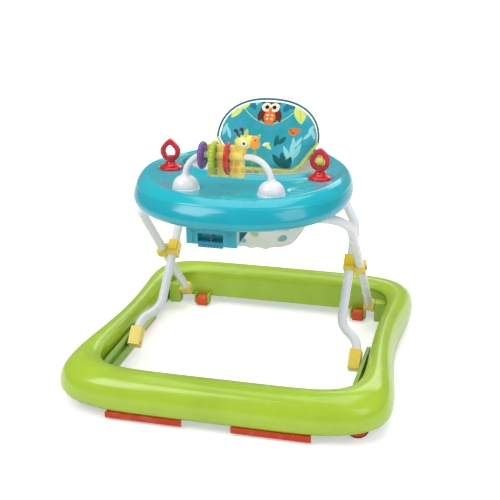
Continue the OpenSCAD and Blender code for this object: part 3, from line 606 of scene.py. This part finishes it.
def plate(name, loops, thickness, bevel, matrix, material):
    """Rounded plate from plane outlines in mm: the first loop is the outside and the others are holes."""
    curve = bpy.data.curves.new(name, "CURVE")
    curve.dimensions = "2D"
    curve.fill_mode = "BOTH"
    for k, loop in enumerate(loops):
        area = sum(a[0] * b[1] - b[0] * a[1] for a, b in zip(loop, loop[1:] + loop[:1]))
        if (area > 0) != (k == 0):
            loop = loop[::-1]
        line = curve.splines.new("POLY")
        line.points.add(len(loop) - 1)
        for p, (x, y) in zip(line.points, loop):
            p.co = (x * MM, y * MM, 0, 1)
        line.use_cyclic_u = True
    curve.extrude = (thickness / 2 - bevel) * MM
    curve.bevel_depth = bevel * MM
    curve.bevel_resolution = 4
    curve.offset = -bevel * MM
    holder = linked(name + "_curve", curve)
    bpy.context.view_layer.update()
    mesh = bpy.data.meshes.new_from_object(holder.evaluated_get(bpy.context.evaluated_depsgraph_get()))
    bpy.data.objects.remove(holder)
    mesh.transform(matrix)
    mesh.name = name
    recolour(mesh, material)
    obj = linked(name, mesh)
    weld(obj, 1e-5)
    shade(obj.data, 35)
    return obj


def add_remesh(obj, voxel):
    remesh = obj.modifiers.new("remesh", "REMESH")
    remesh.mode = "VOXEL"
    remesh.voxel_size = voxel * MM


def blob(name, balls, voxel, matrix, material, smooth_steps):
    """One organic solid from overlapping ellipsoids (centre, half sizes in mm)."""
    bm = bmesh.new()
    for centre, size in balls:
        at = Matrix.Translation(Vector(centre) * MM) @ Matrix.Diagonal([c * MM for c in size] + [1])
        bmesh.ops.create_uvsphere(bm, u_segments=32, v_segments=20, radius=1, matrix=at)
    mesh = bpy.data.meshes.new(name)
    bm.to_mesh(mesh)
    bm.free()
    obj = linked(name, mesh)
    add_remesh(obj, voxel)
    soften = obj.modifiers.new("soften", "SMOOTH")
    soften.iterations = smooth_steps
    apply_modifiers(obj)
    obj.data.transform(matrix)
    recolour(obj.data, material)
    shade(obj.data, 180)
    return obj


def apply_modifiers(obj):
    bpy.context.view_layer.update()
    mesh = bpy.data.meshes.new_from_object(obj.evaluated_get(bpy.context.evaluated_depsgraph_get()))
    obj.modifiers.clear()
    obj.data = mesh


def dress(node, key, bevel):
    """A CAD node shown as it is, with its edges rounded and a finish."""
    obj = nodes[node]
    mesh = obj.data
    for attribute in ("custom_normal", "sharp_edge", "sharp_face"):
        if attribute in mesh.attributes:
            mesh.attributes.remove(mesh.attributes[attribute])
    recolour(mesh, mat[key])
    mesh.shade_smooth()
    join = obj.modifiers.new("weld", "WELD")
    join.merge_threshold = 1e-5
    soft = obj.modifiers.new("bevel", "BEVEL")
    soft.width = bevel * MM
    soft.segments = 3
    soft.limit_method = "ANGLE"
    soft.angle_limit = math.radians(35)
    soft.harden_normals = True
    soft.use_clamp_overlap = True


# ---- outlines shared with the CAD ----


def oval(q, a, b, n):
    return ((abs(math.cos(q)) / a) ** n + (abs(math.sin(q)) / b) ** n) ** (-1 / n)


def ease(t):
    c = min(1.0, max(0.0, t))
    return c * c * (3 - 2 * c)


def mix(a, b, t):
    return a + (b - a) * t


# ---- base ----

BASE_A, BASE_B = 345, 343
INNER_A, INNER_B = 270, 266
RAIL_WALL, RAIL_WIDTH = -3, 76
RAIL = [
    (0, 20), (0, 45), (0.01, 70), (0.06, 80), (0.16, 86.5), (0.29, 90.7), (0.42, 92), (0.58, 90),
    (0.73, 84), (0.86, 74.5), (0.95, 62), (1, 46), (0.99, 34), (0.95, 25), (0.88, 19),
]


def waist(y, b, depth):
    return 1 - depth * max(0.0, 1 - (y / b - 0.2) ** 2) ** 1.5


def base_point(turn, o, z):
    q_deg = turn + 5 * math.sin(math.radians(4 * turn))
    q = math.radians(q_deg)
    ri = oval(q, INNER_A, INNER_B, mix(10, 6.4, ease((z - 66) / 14)))
    ro = oval(q, BASE_A, BASE_B, 6)
    xi = ri * math.cos(q) * waist(ri * math.sin(q), INNER_B, 0.04)
    xo = ro * math.cos(q) * waist(ro * math.sin(q), BASE_B, 0.115)
    corner = ease(1 - abs(abs(q_deg - 270) - 45) / 16)
    lift = corner * ease((o - 0.5) / 0.2) * ease((36 - z) / 12)
    u = mix(o, max(o, o * 0.5 + 0.48), lift)
    return mix(xi, xo, u), mix(ri, ro, u) * math.sin(q), z + 7 * lift


place(ring_mesh("base_rail", 288, walled(RAIL, RAIL_WALL, RAIL_WIDTH), base_point, mat["base"]),
      "base", ["base_shell"])

for name in ("slide_track_left", "slide_track_right"):
    dress(name, "track", 1.2)
for name in ("pivot_bracket_left", "pivot_bracket_right"):
    dress(name, "base", 2.5)
dress("roller_forks", "base", 0.8)
dress("caster_sockets", "track", 0.6)
dress("front_stop_pads", "stop", 1.5)
dress("side_stop_pads", "stop", 1.5)
for name in ("roller_axles", "base_screws", "rear_foot_pins", "slide_pins", "cross_rivets", "tray_screws",
             "caster_axle_left", "caster_axle_right"):
    dress(name, "steel", 0.5)
for side in ("left", "right"):
    dress(f"caster_yoke_{side}", "wheel", 0.6)
    dress(f"caster_wheel_{side}", "wheel", 0.5)
    dress(f"caster_tyre_{side}", "tyre", 0.6)
    dress(f"rear_roller_{side}", "wheel", 0.7)
    dress(f"rear_foot_{side}", "clip", 2.2)
    dress(f"front_foot_{side}", "clip", 2.6)
    dress(f"rear_leg_clip_{side}", "clip", 2.0)
    dress(f"front_leg_clip_{side}", "clip", 2.0)
    dress(f"rear_hinge_{side}", "under", 1.2)

# ---- legs ----

PIVOT = Vector((0, 222, 50))
REACH = 312
ARM = REACH * math.sqrt(2)
FOOT_Y = PIVOT.y - REACH
BEND_R = 45
TUBE_R = 9.5
REAR_X, FRONT_X, FOOT_X = 218.5, 196.5, 236
FLARE_0, FLARE_1, FLARE_TURN = 34, 106, math.radians(50)
FLARE_R = (((FLARE_1 - FLARE_0) * math.sin(FLARE_TURN) - (FOOT_X - FRONT_X) * math.cos(FLARE_TURN))
           / (2 * (1 - math.cos(FLARE_TURN))))
LEAN, LEAN_S, LEAN_R = math.radians(30), 300, 60

rear_plane = Matrix.Translation(PIVOT * MM) @ turned(135, "X")
front_plane = moved(0, FOOT_Y, PIVOT.z) @ turned(45, "X")


def leg(name, half, radii, plane):
    """U-shaped leg from one half's corners, foot first, mirrored across the middle."""
    corners = half + [(-x, s) for x, s in reversed(half)]
    path = filleted(corners, radii + radii[::-1])
    points = [plane @ Vector((x * MM, s * MM, 0)) for x, s in path]
    return tube(name, points, TUBE_R * MM, mat["tube"], segments=40, round_ends=False)


rear_leg = leg("rear_leg", [(REAR_X, 3), (REAR_X, ARM)], [BEND_R], rear_plane)
place(rear_leg, "rear_leg", ["rear_leg_tube"])
lean_corner = LEAN_S + LEAN_R * math.tan(LEAN / 2)
half = [
    (FOOT_X, 7),
    (FOOT_X, FLARE_0 + FLARE_R * math.tan(FLARE_TURN / 2)),
    (FRONT_X, FLARE_1 - FLARE_R * math.tan(FLARE_TURN / 2)),
    (FRONT_X, lean_corner),
    (FRONT_X - (ARM - lean_corner) * math.tan(LEAN), ARM),
]
place(leg("front_leg", half, [FLARE_R, FLARE_R, LEAN_R, BEND_R], front_plane), "front_leg",
      ["front_leg_tube"])

# ---- tray ----

SEAM = 405
TRAY_CY, HOLE_CY = -56, 49
TOP = [
    (0, 0, 25), (0, 0, 33), (0, 2, 37.5), (0, 6, 38), (0, 11, 35), (0, 17, 31.5), (0.33, -5.3, 31),
    (0.67, -27.7, 31), (1, -50, 35), (1, -38, 37.5), (1, -27, 34.5), (1, -17, 28),
]
TOP_END_SIDE, TOP_END_FRONT = [(1, -9, 20.5), (1, -6.5, 16)], [(1, -16.2, 27.2), (1, -15.2, 26.2)]
UNDER_START_SIDE = [(1, -6, 15), (1, -4, 10.5), (1, -1.6, 4.5)]
UNDER_START_FRONT = [(1, -14.6, 25.4), (1, -8, 17.5), (1, -2.5, 8)]
UNDER = [
    (1, 0, -1), (1, -2, -9), (1, -7, -15), (1, -14, -18.5), (1, -22, -19.5), (0.5, -5, -19.5), (0, 12, -19.5),
    (0, 5, -17), (0, 3.8, -10), (0, 3.8, 2),
]
BAR_Y, BAR_HALF = -179, 84
SPINNER_X, SPINNER_Y = 153, -60
RECESSES = [(-BAR_HALF, BAR_Y, 31, 0.9), (BAR_HALF, BAR_Y, 31, 0.9),
            (-SPINNER_X, SPINNER_Y, 27, 0.8), (SPINNER_X, SPINNER_Y, 27, 0.8),
            (-128, -150, 17, 1.4), (128, -150, 17, 1.4)]


def rear_drop(y):
    return mix(1, 0.42, ease((y + 110) / 240))


def tray_tilt(y):
    return (y + 90) * 0.019


TRAY_HALF, TRAY_FRONT, TRAY_REAR = 216.0, 221, 290
HOLE_HALF, HOLE_LONG = 150, 139
TRAY_BAND = 80


def tray_point(turn, o, d, h):
    q = math.radians(turn)
    ahead = math.sin(q) < -0.01
    ro = oval(q, TRAY_HALF, TRAY_FRONT if ahead else TRAY_REAR, 2.25 if ahead else 1.8)
    ri = oval(q, HOLE_HALF, HOLE_LONG, 2.5)
    inner = np.array((ri * math.cos(q), HOLE_CY + ri * math.sin(q)))
    outer = np.array((ro * math.cos(q), TRAY_CY + ro * math.sin(q)))
    width = np.linalg.norm(outer - inner)
    x, y = inner + (outer - inner) * (o + d * min(1, width / TRAY_BAND) / width)
    return x, y, SEAM + tray_tilt(y) + h * (rear_drop(y) if h > 0 else 1)


def top_point(turn, o, d, h):
    """A point of the upper shell, sunk a little under the toys and in two dimples."""
    x, y, z = tray_point(turn, o, d, h)
    for cx, cy, r, depth in RECESSES:
        if o * TRAY_BAND + d > 14:
            z -= depth * ease((r + 2 - math.hypot(x - cx, y - cy)) / 3)
    return x, y, z


def tray_section(points, per_span):
    """Closed wall section through (share, offset, height) points, with its ends rounded."""
    line = curve_through([(o * TRAY_BAND, d, h) for o, d, h in points], per_span)
    ahead = np.gradient(np.stack([line[:, 0] + line[:, 1], line[:, 2]], 1), axis=0)
    ahead /= np.linalg.norm(ahead, axis=1)[:, None]
    side = np.stack([ahead[:, 1], -ahead[:, 0]], 1)
    half = 1.25

    def lip(k, way):
        arc = [side[k] * half * (1 - way * math.cos(t)) + way * ahead[k] * half * math.sin(t)
               for t in np.radians((45, 90, 135))]
        return [line[k] + np.array((0, *p)) for p in arc]

    inside = line + np.column_stack([np.zeros(len(side)), side * 2 * half])
    whole = np.vstack([line, lip(-1, 1), inside[::-1], lip(0, -1)])
    return whole / (TRAY_BAND, 1, 1)


def tray_mesh(name, stations, side_points, front_points, per_span, point, material):
    """Ring whose section changes from the sides to the front."""
    at_side, at_front = tray_section(side_points, per_span), tray_section(front_points, per_span)
    verts = []
    for i in range(stations):
        turn = 360 * i / stations
        share = max(0.0, -math.sin(math.radians(turn))) ** 2
        verts += [[c * MM for c in point(turn, *p)] for p in mix(at_side, at_front, share)]
    return make_mesh(name, verts, grid_faces(stations, len(at_side)), material)


deck = tray_mesh("tray_deck", 360, TOP + TOP_END_SIDE, TOP + TOP_END_FRONT, 9, top_point, mat["tray"])
place(deck, "tray", ["tray_top"])
shell = tray_mesh("tray_shell", 288, UNDER_START_SIDE + UNDER, UNDER_START_FRONT + UNDER, 6, tray_point,
                  mat["under"])
place(shell, "tray", ["tray_bottom"])
dress("latch_housing", "housing", 1.6)
dress("squeeze_latch", "latch", 1.0)

SPRING_AT, SPRING_LOW, SPRING_TOP, SPRING_R, WIRE_R = (-16, -242), 350.8, 370.2, 4, 0.6
SPRING_TURNS, LATCH_TRAVEL = 4, 5


def latch_coil():
    """Coil spring between the latch and the roof of its channel."""
    count = SPRING_TURNS * 32
    path = []
    for k in range(count + 1):
        a = 2 * math.pi * k / 32
        x, y = SPRING_AT[0] + SPRING_R * math.cos(a), SPRING_AT[1] + SPRING_R * math.sin(a)
        path.append(Vector((x, y, mix(SPRING_LOW, SPRING_TOP, k / count))) * MM)
    return tube("latch_coil", path, WIRE_R * MM, mat["steel"], segments=12, round_ends=False)


coil = place(latch_coil(), "tray", ["latch_spring"])
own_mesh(coil)

# ---- seat ----

SLING = [
    (430, 144, 131, 49), (425, 144, 131, 49), (400, 140, 127, 49), (372, 131, 112, 47), (330, 118, 97, 52),
    (290, 101, 82, 58), (262, 84, 64, 60), (248, 58, 42, 60), (246, 28, 20, 60),
]
LEG_AT, LEG_TILT, LEG_YAW, LEG_R = Vector((62, -8, 322)), 72, 38, 44


def leg_axis(side):
    turn = Matrix.Rotation(math.radians(side * LEG_YAW), 3, "Z")
    turn = turn @ Matrix.Rotation(math.radians(LEG_TILT), 3, "X")
    return Vector((side * LEG_AT.x, LEG_AT.y, LEG_AT.z)) * MM, turn


def sling_mesh(name, material):
    """Sewn bucket: an oval loft with soft vertical folds and two leg holes, and the loft without holes."""
    levels = curve_through(SLING, 7)
    stations = 176
    verts = []
    for z, a, b, cy in levels:
        low = ease((400 - z) / 110)
        for i in range(stations):
            q = 2 * math.pi * i / stations
            fold = 1.6 * math.sin(9 * q + 0.02 * z) + 1.1 * math.sin(17 * q + 1.3 - 0.03 * z)
            r = oval(q, a - 2, b - 2, 2.4) + fold * low * min(1, a / 90)
            y = cy + r * math.sin(q)
            rim = (SEAM - 400 + 36 * rear_drop(y) + tray_tilt(y)) / 30
            height = 400 + (z - 400) * rim if z > 400 else z - 2.5 * low * abs(math.sin(4.5 * q))
            verts.append(Vector((r * math.cos(q), y, height)) * MM)
    rows = len(levels)
    middle = len(verts)
    verts.append(Vector((0, 60, 245)) * MM)
    faces = grid_faces(rows, stations, wrap_rows=False)
    last = (rows - 1) * stations
    faces += [(last + i, last + (i + 1) % stations, middle) for i in range(stations)]
    whole = BVHTree.FromPolygons(verts, faces)
    kept = []
    for face in faces:
        centre = sum((verts[k] for k in face), Vector()) / len(face)
        open_here = False
        for side in (-1, 1):
            at, turn = leg_axis(side)
            local = turn.inverted() @ (centre - at)
            open_here |= local.z > 0 and math.hypot(local.x, local.y) < LEG_R * MM
        if not open_here:
            kept.append(face)
    obj = make_mesh(name, verts, kept, material, 180)
    rework(obj.data, lambda bm: bmesh.ops.delete(bm, geom=[v for v in bm.verts if not v.link_faces],
                                                 context="VERTS"))
    thick = obj.modifiers.new("thick", "SOLIDIFY")
    thick.thickness = 1.8 * MM
    thick.offset = -1
    apply_modifiers(obj)
    shade(obj.data, 70)
    return obj, whole


def leg_hem(name, side, whole, material):
    """Piping round a leg opening, on the bucket's surface."""
    at, turn = leg_axis(side)
    way = turn @ Vector((0, 0, 1))
    path = []
    for k in range(72):
        t = 2 * math.pi * k / 72
        start = at + turn @ (Vector((math.cos(t), math.sin(t), 0)) * LEG_R * MM)
        hit = whole.ray_cast(start, way)[0]
        if hit is not None:
            path.append(hit)
    return tube(name, path, 3.2 * MM, material, closed=True, segments=14)


sling, sling_tree = sling_mesh("sling_cloth", mat["lining"])
soft_parts = [place(sling, "tray", ["seat_sling"])]
for side, label in ((-1, "left"), (1, "right")):
    leg_piping = leg_hem(f"leg_hem_{label}", side, sling_tree, mat["white_piping"])
    soft_parts.append(place(leg_piping, "tray"))
for part in soft_parts:
    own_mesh(part)


BACK_Y, BACK_Z, BACK_TURN = 141, 447, 60
PIPING_Z = 8.5
back = moved(0, BACK_Y, BACK_Z) @ turned(BACK_TURN, "X")


def back_arch(inset):
    pts = []
    for k in range(0, 46):
        q = math.radians(4 * k)
        r = oval(q, 112 - inset, 92 - inset, 2.3)
        pts.append((r * math.cos(q), r * math.sin(q)))
    return pts


def back_foot(inset):
    return [(inset - 82, -50), (inset - 64, inset - 68), (64 - inset, inset - 68), (82 - inset, -50)]


def coordinates(obj):
    return np.array([v.co for v in obj.data.vertices], float)


def set_coordinates(obj, co):
    obj.data.vertices.foreach_set("co", co.astype(np.float32).ravel())


CLOTH_PRESSURE, CLOTH_FRAMES = 4.0, 20


def swell(obj, cap):
    """Inflates a closed cloth mesh without gravity, and holds each point within cap of where it was."""
    rest = coordinates(obj)
    cloth_mod = obj.modifiers.new("cloth", "CLOTH")
    settings = cloth_mod.settings
    settings.quality = 6
    settings.mass = 0.25
    settings.tension_stiffness = 22
    settings.compression_stiffness = 16
    settings.shear_stiffness = 10
    settings.bending_stiffness = 0.6
    settings.use_pressure = True
    settings.uniform_pressure_force = CLOTH_PRESSURE
    settings.effector_weights.gravity = 0
    cloth_mod.point_cache.frame_start = 1
    cloth_mod.point_cache.frame_end = CLOTH_FRAMES
    for number in range(1, CLOTH_FRAMES + 1):
        scene.frame_set(number)
    apply_modifiers(obj)
    scene.frame_set(1)
    move = coordinates(obj) - rest
    far = np.linalg.norm(move, axis=1)[:, None]
    move *= np.minimum(1, cap * MM / np.maximum(far, 1e-9))
    set_coordinates(obj, rest + move)
    obj.data.update()


def seat_pad():
    middle = moved(0, 0, 8.2)
    pad = plate("back_pad", [back_arch(3) + back_foot(3)], 8.0, 2.5, middle, mat["panel"])
    add_remesh(pad, 4.5)
    apply_modifiers(pad)
    swell(pad, 5)
    co = coordinates(pad)
    co[:, 2] = np.maximum(co[:, 2], 3.3 * MM)
    set_coordinates(pad, co)
    recolour(pad.data, mat["panel"])
    fine = pad.modifiers.new("fine", "SUBSURF")
    fine.levels = fine.render_levels = 1
    apply_modifiers(pad)
    shade(pad.data, 180)
    pad.matrix_world = back
    return pad


place(seat_pad(), "tray", ["seat_back_pad"])
edge = [back @ Vector((x * MM, y * MM, PIPING_Z * MM)) for x, y in back_arch(1.5)]
place(tube("back_piping", edge, 2.2 * MM, mat["piping"], segments=12), "tray")
foot = filleted([(-110, 0)] + back_foot(1.5) + [(110, 0)], [12, 12, 12, 12], 15)
edge = [back @ Vector((x * MM, y * MM, PIPING_Z * MM)) for x, y in foot]
place(tube("foot_piping", edge, 2.4 * MM, mat["lime_piping"], segments=12), "tray")
dress("seat_back_board", "board", 1.2)

# ---- toys ----

BAR_FOOT, BAR_Z, BAR_R = 440, 503, 6
bar_corners = [(BAR_HALF, BAR_FOOT), (BAR_HALF, BAR_Z), (-BAR_HALF, BAR_Z), (-BAR_HALF, BAR_FOOT)]
bar = [Vector((x, BAR_Y, z)) * MM for x, z in filleted(bar_corners, [BEND_R] * 2)]
place(tube("toy_arch", bar, BAR_R * MM, mat["toy_white"], segments=32), "tray", ["toy_bar"])

DOME_Z = 437.6
DOME = [
    (0.5, -8), (26.4, -8), (27, -5), (26.8, -2.4), (26.2, -1.4), (25.4, -1), (25.2, -0.2), (25.5, 1),
    (24.6, 5.4), (22.4, 11), (18.4, 16), (13.6, 19.6), (9.5, 21.6), (8.2, 23), (7.6, 24.6), (6.6, 25.2),
    (0.5, 25.2),
]
for side, label in ((-1, "left"), (1, "right")):
    at = moved(side * BAR_HALF, BAR_Y, DOME_Z)
    dome = lathe(f"dome_{label}", eased(DOME), at, mat["toy_white"])
    place(dome, "tray", [f"bar_dome_{label}"])


def ring_profile(r, t, bore, dish):
    """Closed (radius, offset) profile of a threaded disc with dished faces and a rounded rim."""
    h = t / 2
    rim = [(r - h + h * math.cos(a), h * math.sin(a)) for a in np.radians(np.linspace(-80, 80, 13))]
    side = [
        (r - h - 3, h), (r - h - 5, h - dish), (bore + 6, h - dish), (bore + 4, h - 0.2), (bore + 1, h - 0.4),
        (bore, h - 1.6),
    ]
    other = [(a, -b) for a, b in reversed(side)]
    loop = other + rim + side
    return loop + [loop[0]]


def threaded(name, x, r, t, bore, dish, key, wave=None):
    """A ring of the given radius, thickness, bore and dished depth, hanging on the bar at x."""
    at = moved(x, BAR_Y, BAR_Z + BAR_R + 0.2 - bore) @ turned(90, "Y")
    ring = lathe(name, ring_profile(r, t, bore, dish), at, mat[key], segments=192, wave=wave, smooth=50)
    place(ring, f"{key}_ring", [f"{key}_ring"])


def ribbed(a, r, z):
    if r < 24:
        return r
    notch = max(0.0, math.cos(a * 24)) ** 6
    return r - 1.7 * notch


def pebbled(a, r, z):
    return r - 0.5 * (0.5 + 0.5 * math.cos(a * 30)) if r > 20 else r


threaded("purple_bead", -49, 26.5, 10, 8, 1.8, "purple", pebbled)
threaded("lime_bead", -26, 31.5, 10, 10.5, 2.4, "lime", ribbed)
threaded("red_bead", 1, 30.5, 7, 10.5, 1.2, "red")

dress("giraffe_body", "yellow", 1.6)


def on_giraffe(obj, replaces=()):
    return place(obj, "giraffe", replaces)


head_at = moved(0, BAR_Y, 0)
head = blob("giraffe_face", [
    ((29, 0, 531), (15, 12.5, 13.5)), ((36, 0, 532.5), (13, 12, 12.5)), ((44, 0, 533), (11, 11.5, 12)),
    ((25, 0, 522), (9, 7, 10)), ((27, 0, 518), (8, 6, 9)),
], 1.4, head_at, mat["head"], 8)
on_giraffe(head, ["giraffe_head"])
snout = blob("giraffe_snout", [
    ((50, 0, 532), (9.5, 12, 12.8)), ((53, 0, 528), (9.5, 11.5, 10)), ((52, 0, 535), (8.5, 11, 10)),
], 1.4, head_at, mat["snout"], 5)
on_giraffe(snout)
for side, label in ((-1, "front"), (1, "rear")):
    y = BAR_Y + side * 11.4
    facing = moved(34, y, 532) @ turned(90 * -side, "X")
    disc = [(0.2, 1.6), (3.2, 1.5), (5.2, 0.9), (6.2, -0.6), (6.3, -3), (0.2, -3)]
    on_giraffe(lathe(f"eye_{label}", disc, facing, mat["eye_white"], 48))
    pupil = [(0.1, 2.3), (1.7, 2.1), (2.9, 1.5), (3.2, 0.4), (0.1, 0.2)]
    pupil_at = facing @ moved(0.8, 0, 0)
    on_giraffe(lathe(f"pupil_{label}", pupil, pupil_at, mat["ink"], 40))
    nose = moved(55.5, BAR_Y + side * 8.2, 538) @ turned(60 * -side, "X")
    dimple = [(0.1, 2.4), (1.0, 2.2), (1.5, 1.4), (1.6, -1), (0.1, -1)]
    on_giraffe(lathe(f"nostril_{label}", dimple, nose, mat["ink"], 24))
    horn_y = BAR_Y + side * 4.5
    base_at = Vector((26 + (0 if side < 0 else 5), horn_y, 540))
    tip_at = base_at + Vector((-8 if side < 0 else -5, side * 1.5, 14))
    stem = [base_at * MM, (base_at + (tip_at - base_at) * 0.6) * MM, tip_at * MM]
    horn = tube(f"horn_{label}", stem, [2.2 * MM, 1.7 * MM, 1.6 * MM], mat["horn"], segments=20)
    on_giraffe(horn)
    still = Matrix.Identity(4)
    ball = blob(f"horn_ball_{label}", [(tuple(tip_at), (4.2, 4.2, 3.8))], 0.8, still, mat["horn"], 3)
    on_giraffe(ball)
    ear_y = BAR_Y + side * 6
    ear = [((36, ear_y, 547), (3.2, 2.0, 7)), ((36.5, ear_y, 551), (2.6, 1.6, 5))]
    on_giraffe(blob(f"ear_{label}", ear, 0.8, still, mat["ear"], 3))


def teardrop(r, tip):
    """Circle of radius r whose top is drawn up to a rounded point at height tip."""
    pts = []
    for k in range(72):
        a = 2 * math.pi * k / 72
        x, z = r * math.cos(a), r * math.sin(a)
        up = max(0.0, math.sin(a)) ** 3
        pts.append((x * (1 - 0.42 * up), z + (tip - r) * up))
    return pts


BELL = [
    (0.2, -8), (22.5, -8), (23.4, -4), (23.4, 0.2), (21.2, 2.2), (17, 4.2), (13, 6.8), (10.2, 9.6),
    (9.2, 11.4), (7.6, 12), (0.2, 12),
]
for side, label in ((-1, "left"), (1, "right")):
    at = moved(side * SPINNER_X, SPINNER_Y, LOOP_Z - LOOP_RISE)
    bell = lathe(f"bell_{label}", eased(BELL), at, mat["red"])
    place(bell, "tray", [f"spinner_base_{label}"])
    stand = at @ moved(0, 0, LOOP_RISE) @ turned(90, "X")
    body = f"spinner_{label}"
    outline = [teardrop(20.4, 26), teardrop(10.6, 13.5)]
    loop = plate(f"loop_{label}", outline, 10.4, 2.6, stand, mat["red"])
    place(loop, body, [f"spinner_loop_{label}"])
    ridge = [teardrop(17, 21.5), teardrop(13.2, 16.6)]
    band = plate(f"band_{label}", ridge, 12.6, 1.2, stand, mat["red"])
    place(band, body)
    neck = [(0.2, -24), (7.2, -23.5), (8.4, -21), (8.2, -17), (9.5, -13), (0.2, -12)]
    place(lathe(f"neck_{label}", neck, at @ moved(0, 0, 35), mat["red"], 64), body)


def rounded_bead(name, half, power, at, material):
    """Box-like bead with rounded faces."""
    verts, faces = [], []
    rows, cols = 40, 64
    for i in range(rows):
        v = math.pi * (i + 0.5) / rows - math.pi / 2
        for j in range(cols):
            u = 2 * math.pi * j / cols
            unit = (math.cos(v) * math.cos(u), math.cos(v) * math.sin(u), math.sin(v))
            corner = [math.copysign(abs(c) ** power, c) * h * MM for c, h in zip(unit, half)]
            verts.append(at @ Vector(corner))
    faces = grid_faces(rows, cols, wrap_rows=False)
    faces += [tuple(range(cols)), tuple(range((rows - 1) * cols, rows * cols))]
    return make_mesh(name, verts, faces, material, 60)


bead_at = moved(SPINNER_X, SPINNER_Y, LOOP_Z)
insert = rounded_bead("insert_bead", (8.4, 6.2, 8.8), 0.72, bead_at, mat["insert"])
place(insert, "bead", ["loop_bead"])
pin = [bead_at @ Vector((0, 0, z * MM)) for z in (-13.5, 0, 13.5)]
place(tube("insert_pin", pin, 1.4 * MM, mat["steel"], segments=16), "bead")

# ---- studio ----

FLOOR_GLOW = 0.45
FLOOR_HALF = 6
floor_shader = Shader("floor")
seen_floor = floor_shader.make("ShaderNodeLightPath").outputs["Is Camera Ray"]
floor_gloss = floor_shader.ramp(floor_shader.noise(3, 2), 0.3, 0.7, 0.55, 0.7)
floor_shader.set(Base_Color=(0.93, 0.93, 0.93, 1), Roughness=floor_gloss, Emission_Color=(1, 1, 1, 1),
                 Emission_Strength=floor_shader.math("MULTIPLY", seen_floor, FLOOR_GLOW))
floor_corners = [(x * FLOOR_HALF, y * FLOOR_HALF, 0) for x, y in ((-1, -1), (1, -1), (1, 1), (-1, 1))]
floor = make_mesh("floor", floor_corners, [(0, 1, 2, 3)], floor_shader.material)

world = bpy.data.worlds.new("studio")
world.use_nodes = True
sky = world.node_tree.nodes["Background"]
sky.inputs["Color"].default_value = (1.0, 1.0, 1.0, 1)
rays = world.node_tree.nodes.new("ShaderNodeLightPath")
SKY_SEEN, SKY_LIGHT, SKY_MIRRORED = 1.0, 0.62, 0.22
seen = world.node_tree.nodes.new("ShaderNodeMix")
seen.inputs["A"].default_value, seen.inputs["B"].default_value = SKY_LIGHT, SKY_SEEN
mirrored = world.node_tree.nodes.new("ShaderNodeMix")
mirrored.inputs["B"].default_value = SKY_MIRRORED
world.node_tree.links.new(rays.outputs["Is Camera Ray"], seen.inputs["Factor"])
world.node_tree.links.new(rays.outputs["Is Glossy Ray"], mirrored.inputs["Factor"])
world.node_tree.links.new(seen.outputs["Result"], mirrored.inputs["A"])
world.node_tree.links.new(mirrored.outputs["Result"], sky.inputs["Strength"])
scene.world = world


AIM = Vector((0, 0, 0.3))


def softbox(name, at, size, power):
    light = bpy.data.lights.new(name, "AREA")
    light.shape = "RECTANGLE"
    light.size, light.size_y = size
    light.energy = power
    obj = linked(name, light)
    obj.location = at
    obj.rotation_euler = (AIM - Vector(at)).to_track_quat("-Z", "Y").to_euler()


softbox("key", (-1.6, -1.8, 2.6), (1.6, 1.6), 33)
softbox("fill", (2.2, -1.2, 1.8), (1.4, 1.8), 14)
softbox("top", (0, 0.4, 3.0), (2.4, 2.4), 28)
softbox("rear", (0.6, 2.4, 1.8), (2.0, 1.0), 12)

AZIMUTH, ELEVATION, DISTANCE, ROLL = 14.672, 20.677, 2.3895, -0.357
TARGET = Vector((-0.00486, 0, 0.2484))
a, e = math.radians(AZIMUTH), math.radians(ELEVATION)
away = Vector((math.sin(a) * math.cos(e), -math.cos(a) * math.cos(e), math.sin(e)))
camera = bpy.data.cameras.new("camera")
camera.sensor_width = 36
camera.lens = 82.16
camera_obj = linked("camera", camera)
camera_obj.location = TARGET + away * DISTANCE
camera_obj.rotation_mode = "QUATERNION"
level = (-away).to_track_quat("-Z", "Y")
camera_obj.rotation_quaternion = level @ Matrix.Rotation(math.radians(ROLL), 3, "Z").to_quaternion()
scene.camera = camera_obj
scene.view_settings.view_transform = "Standard"
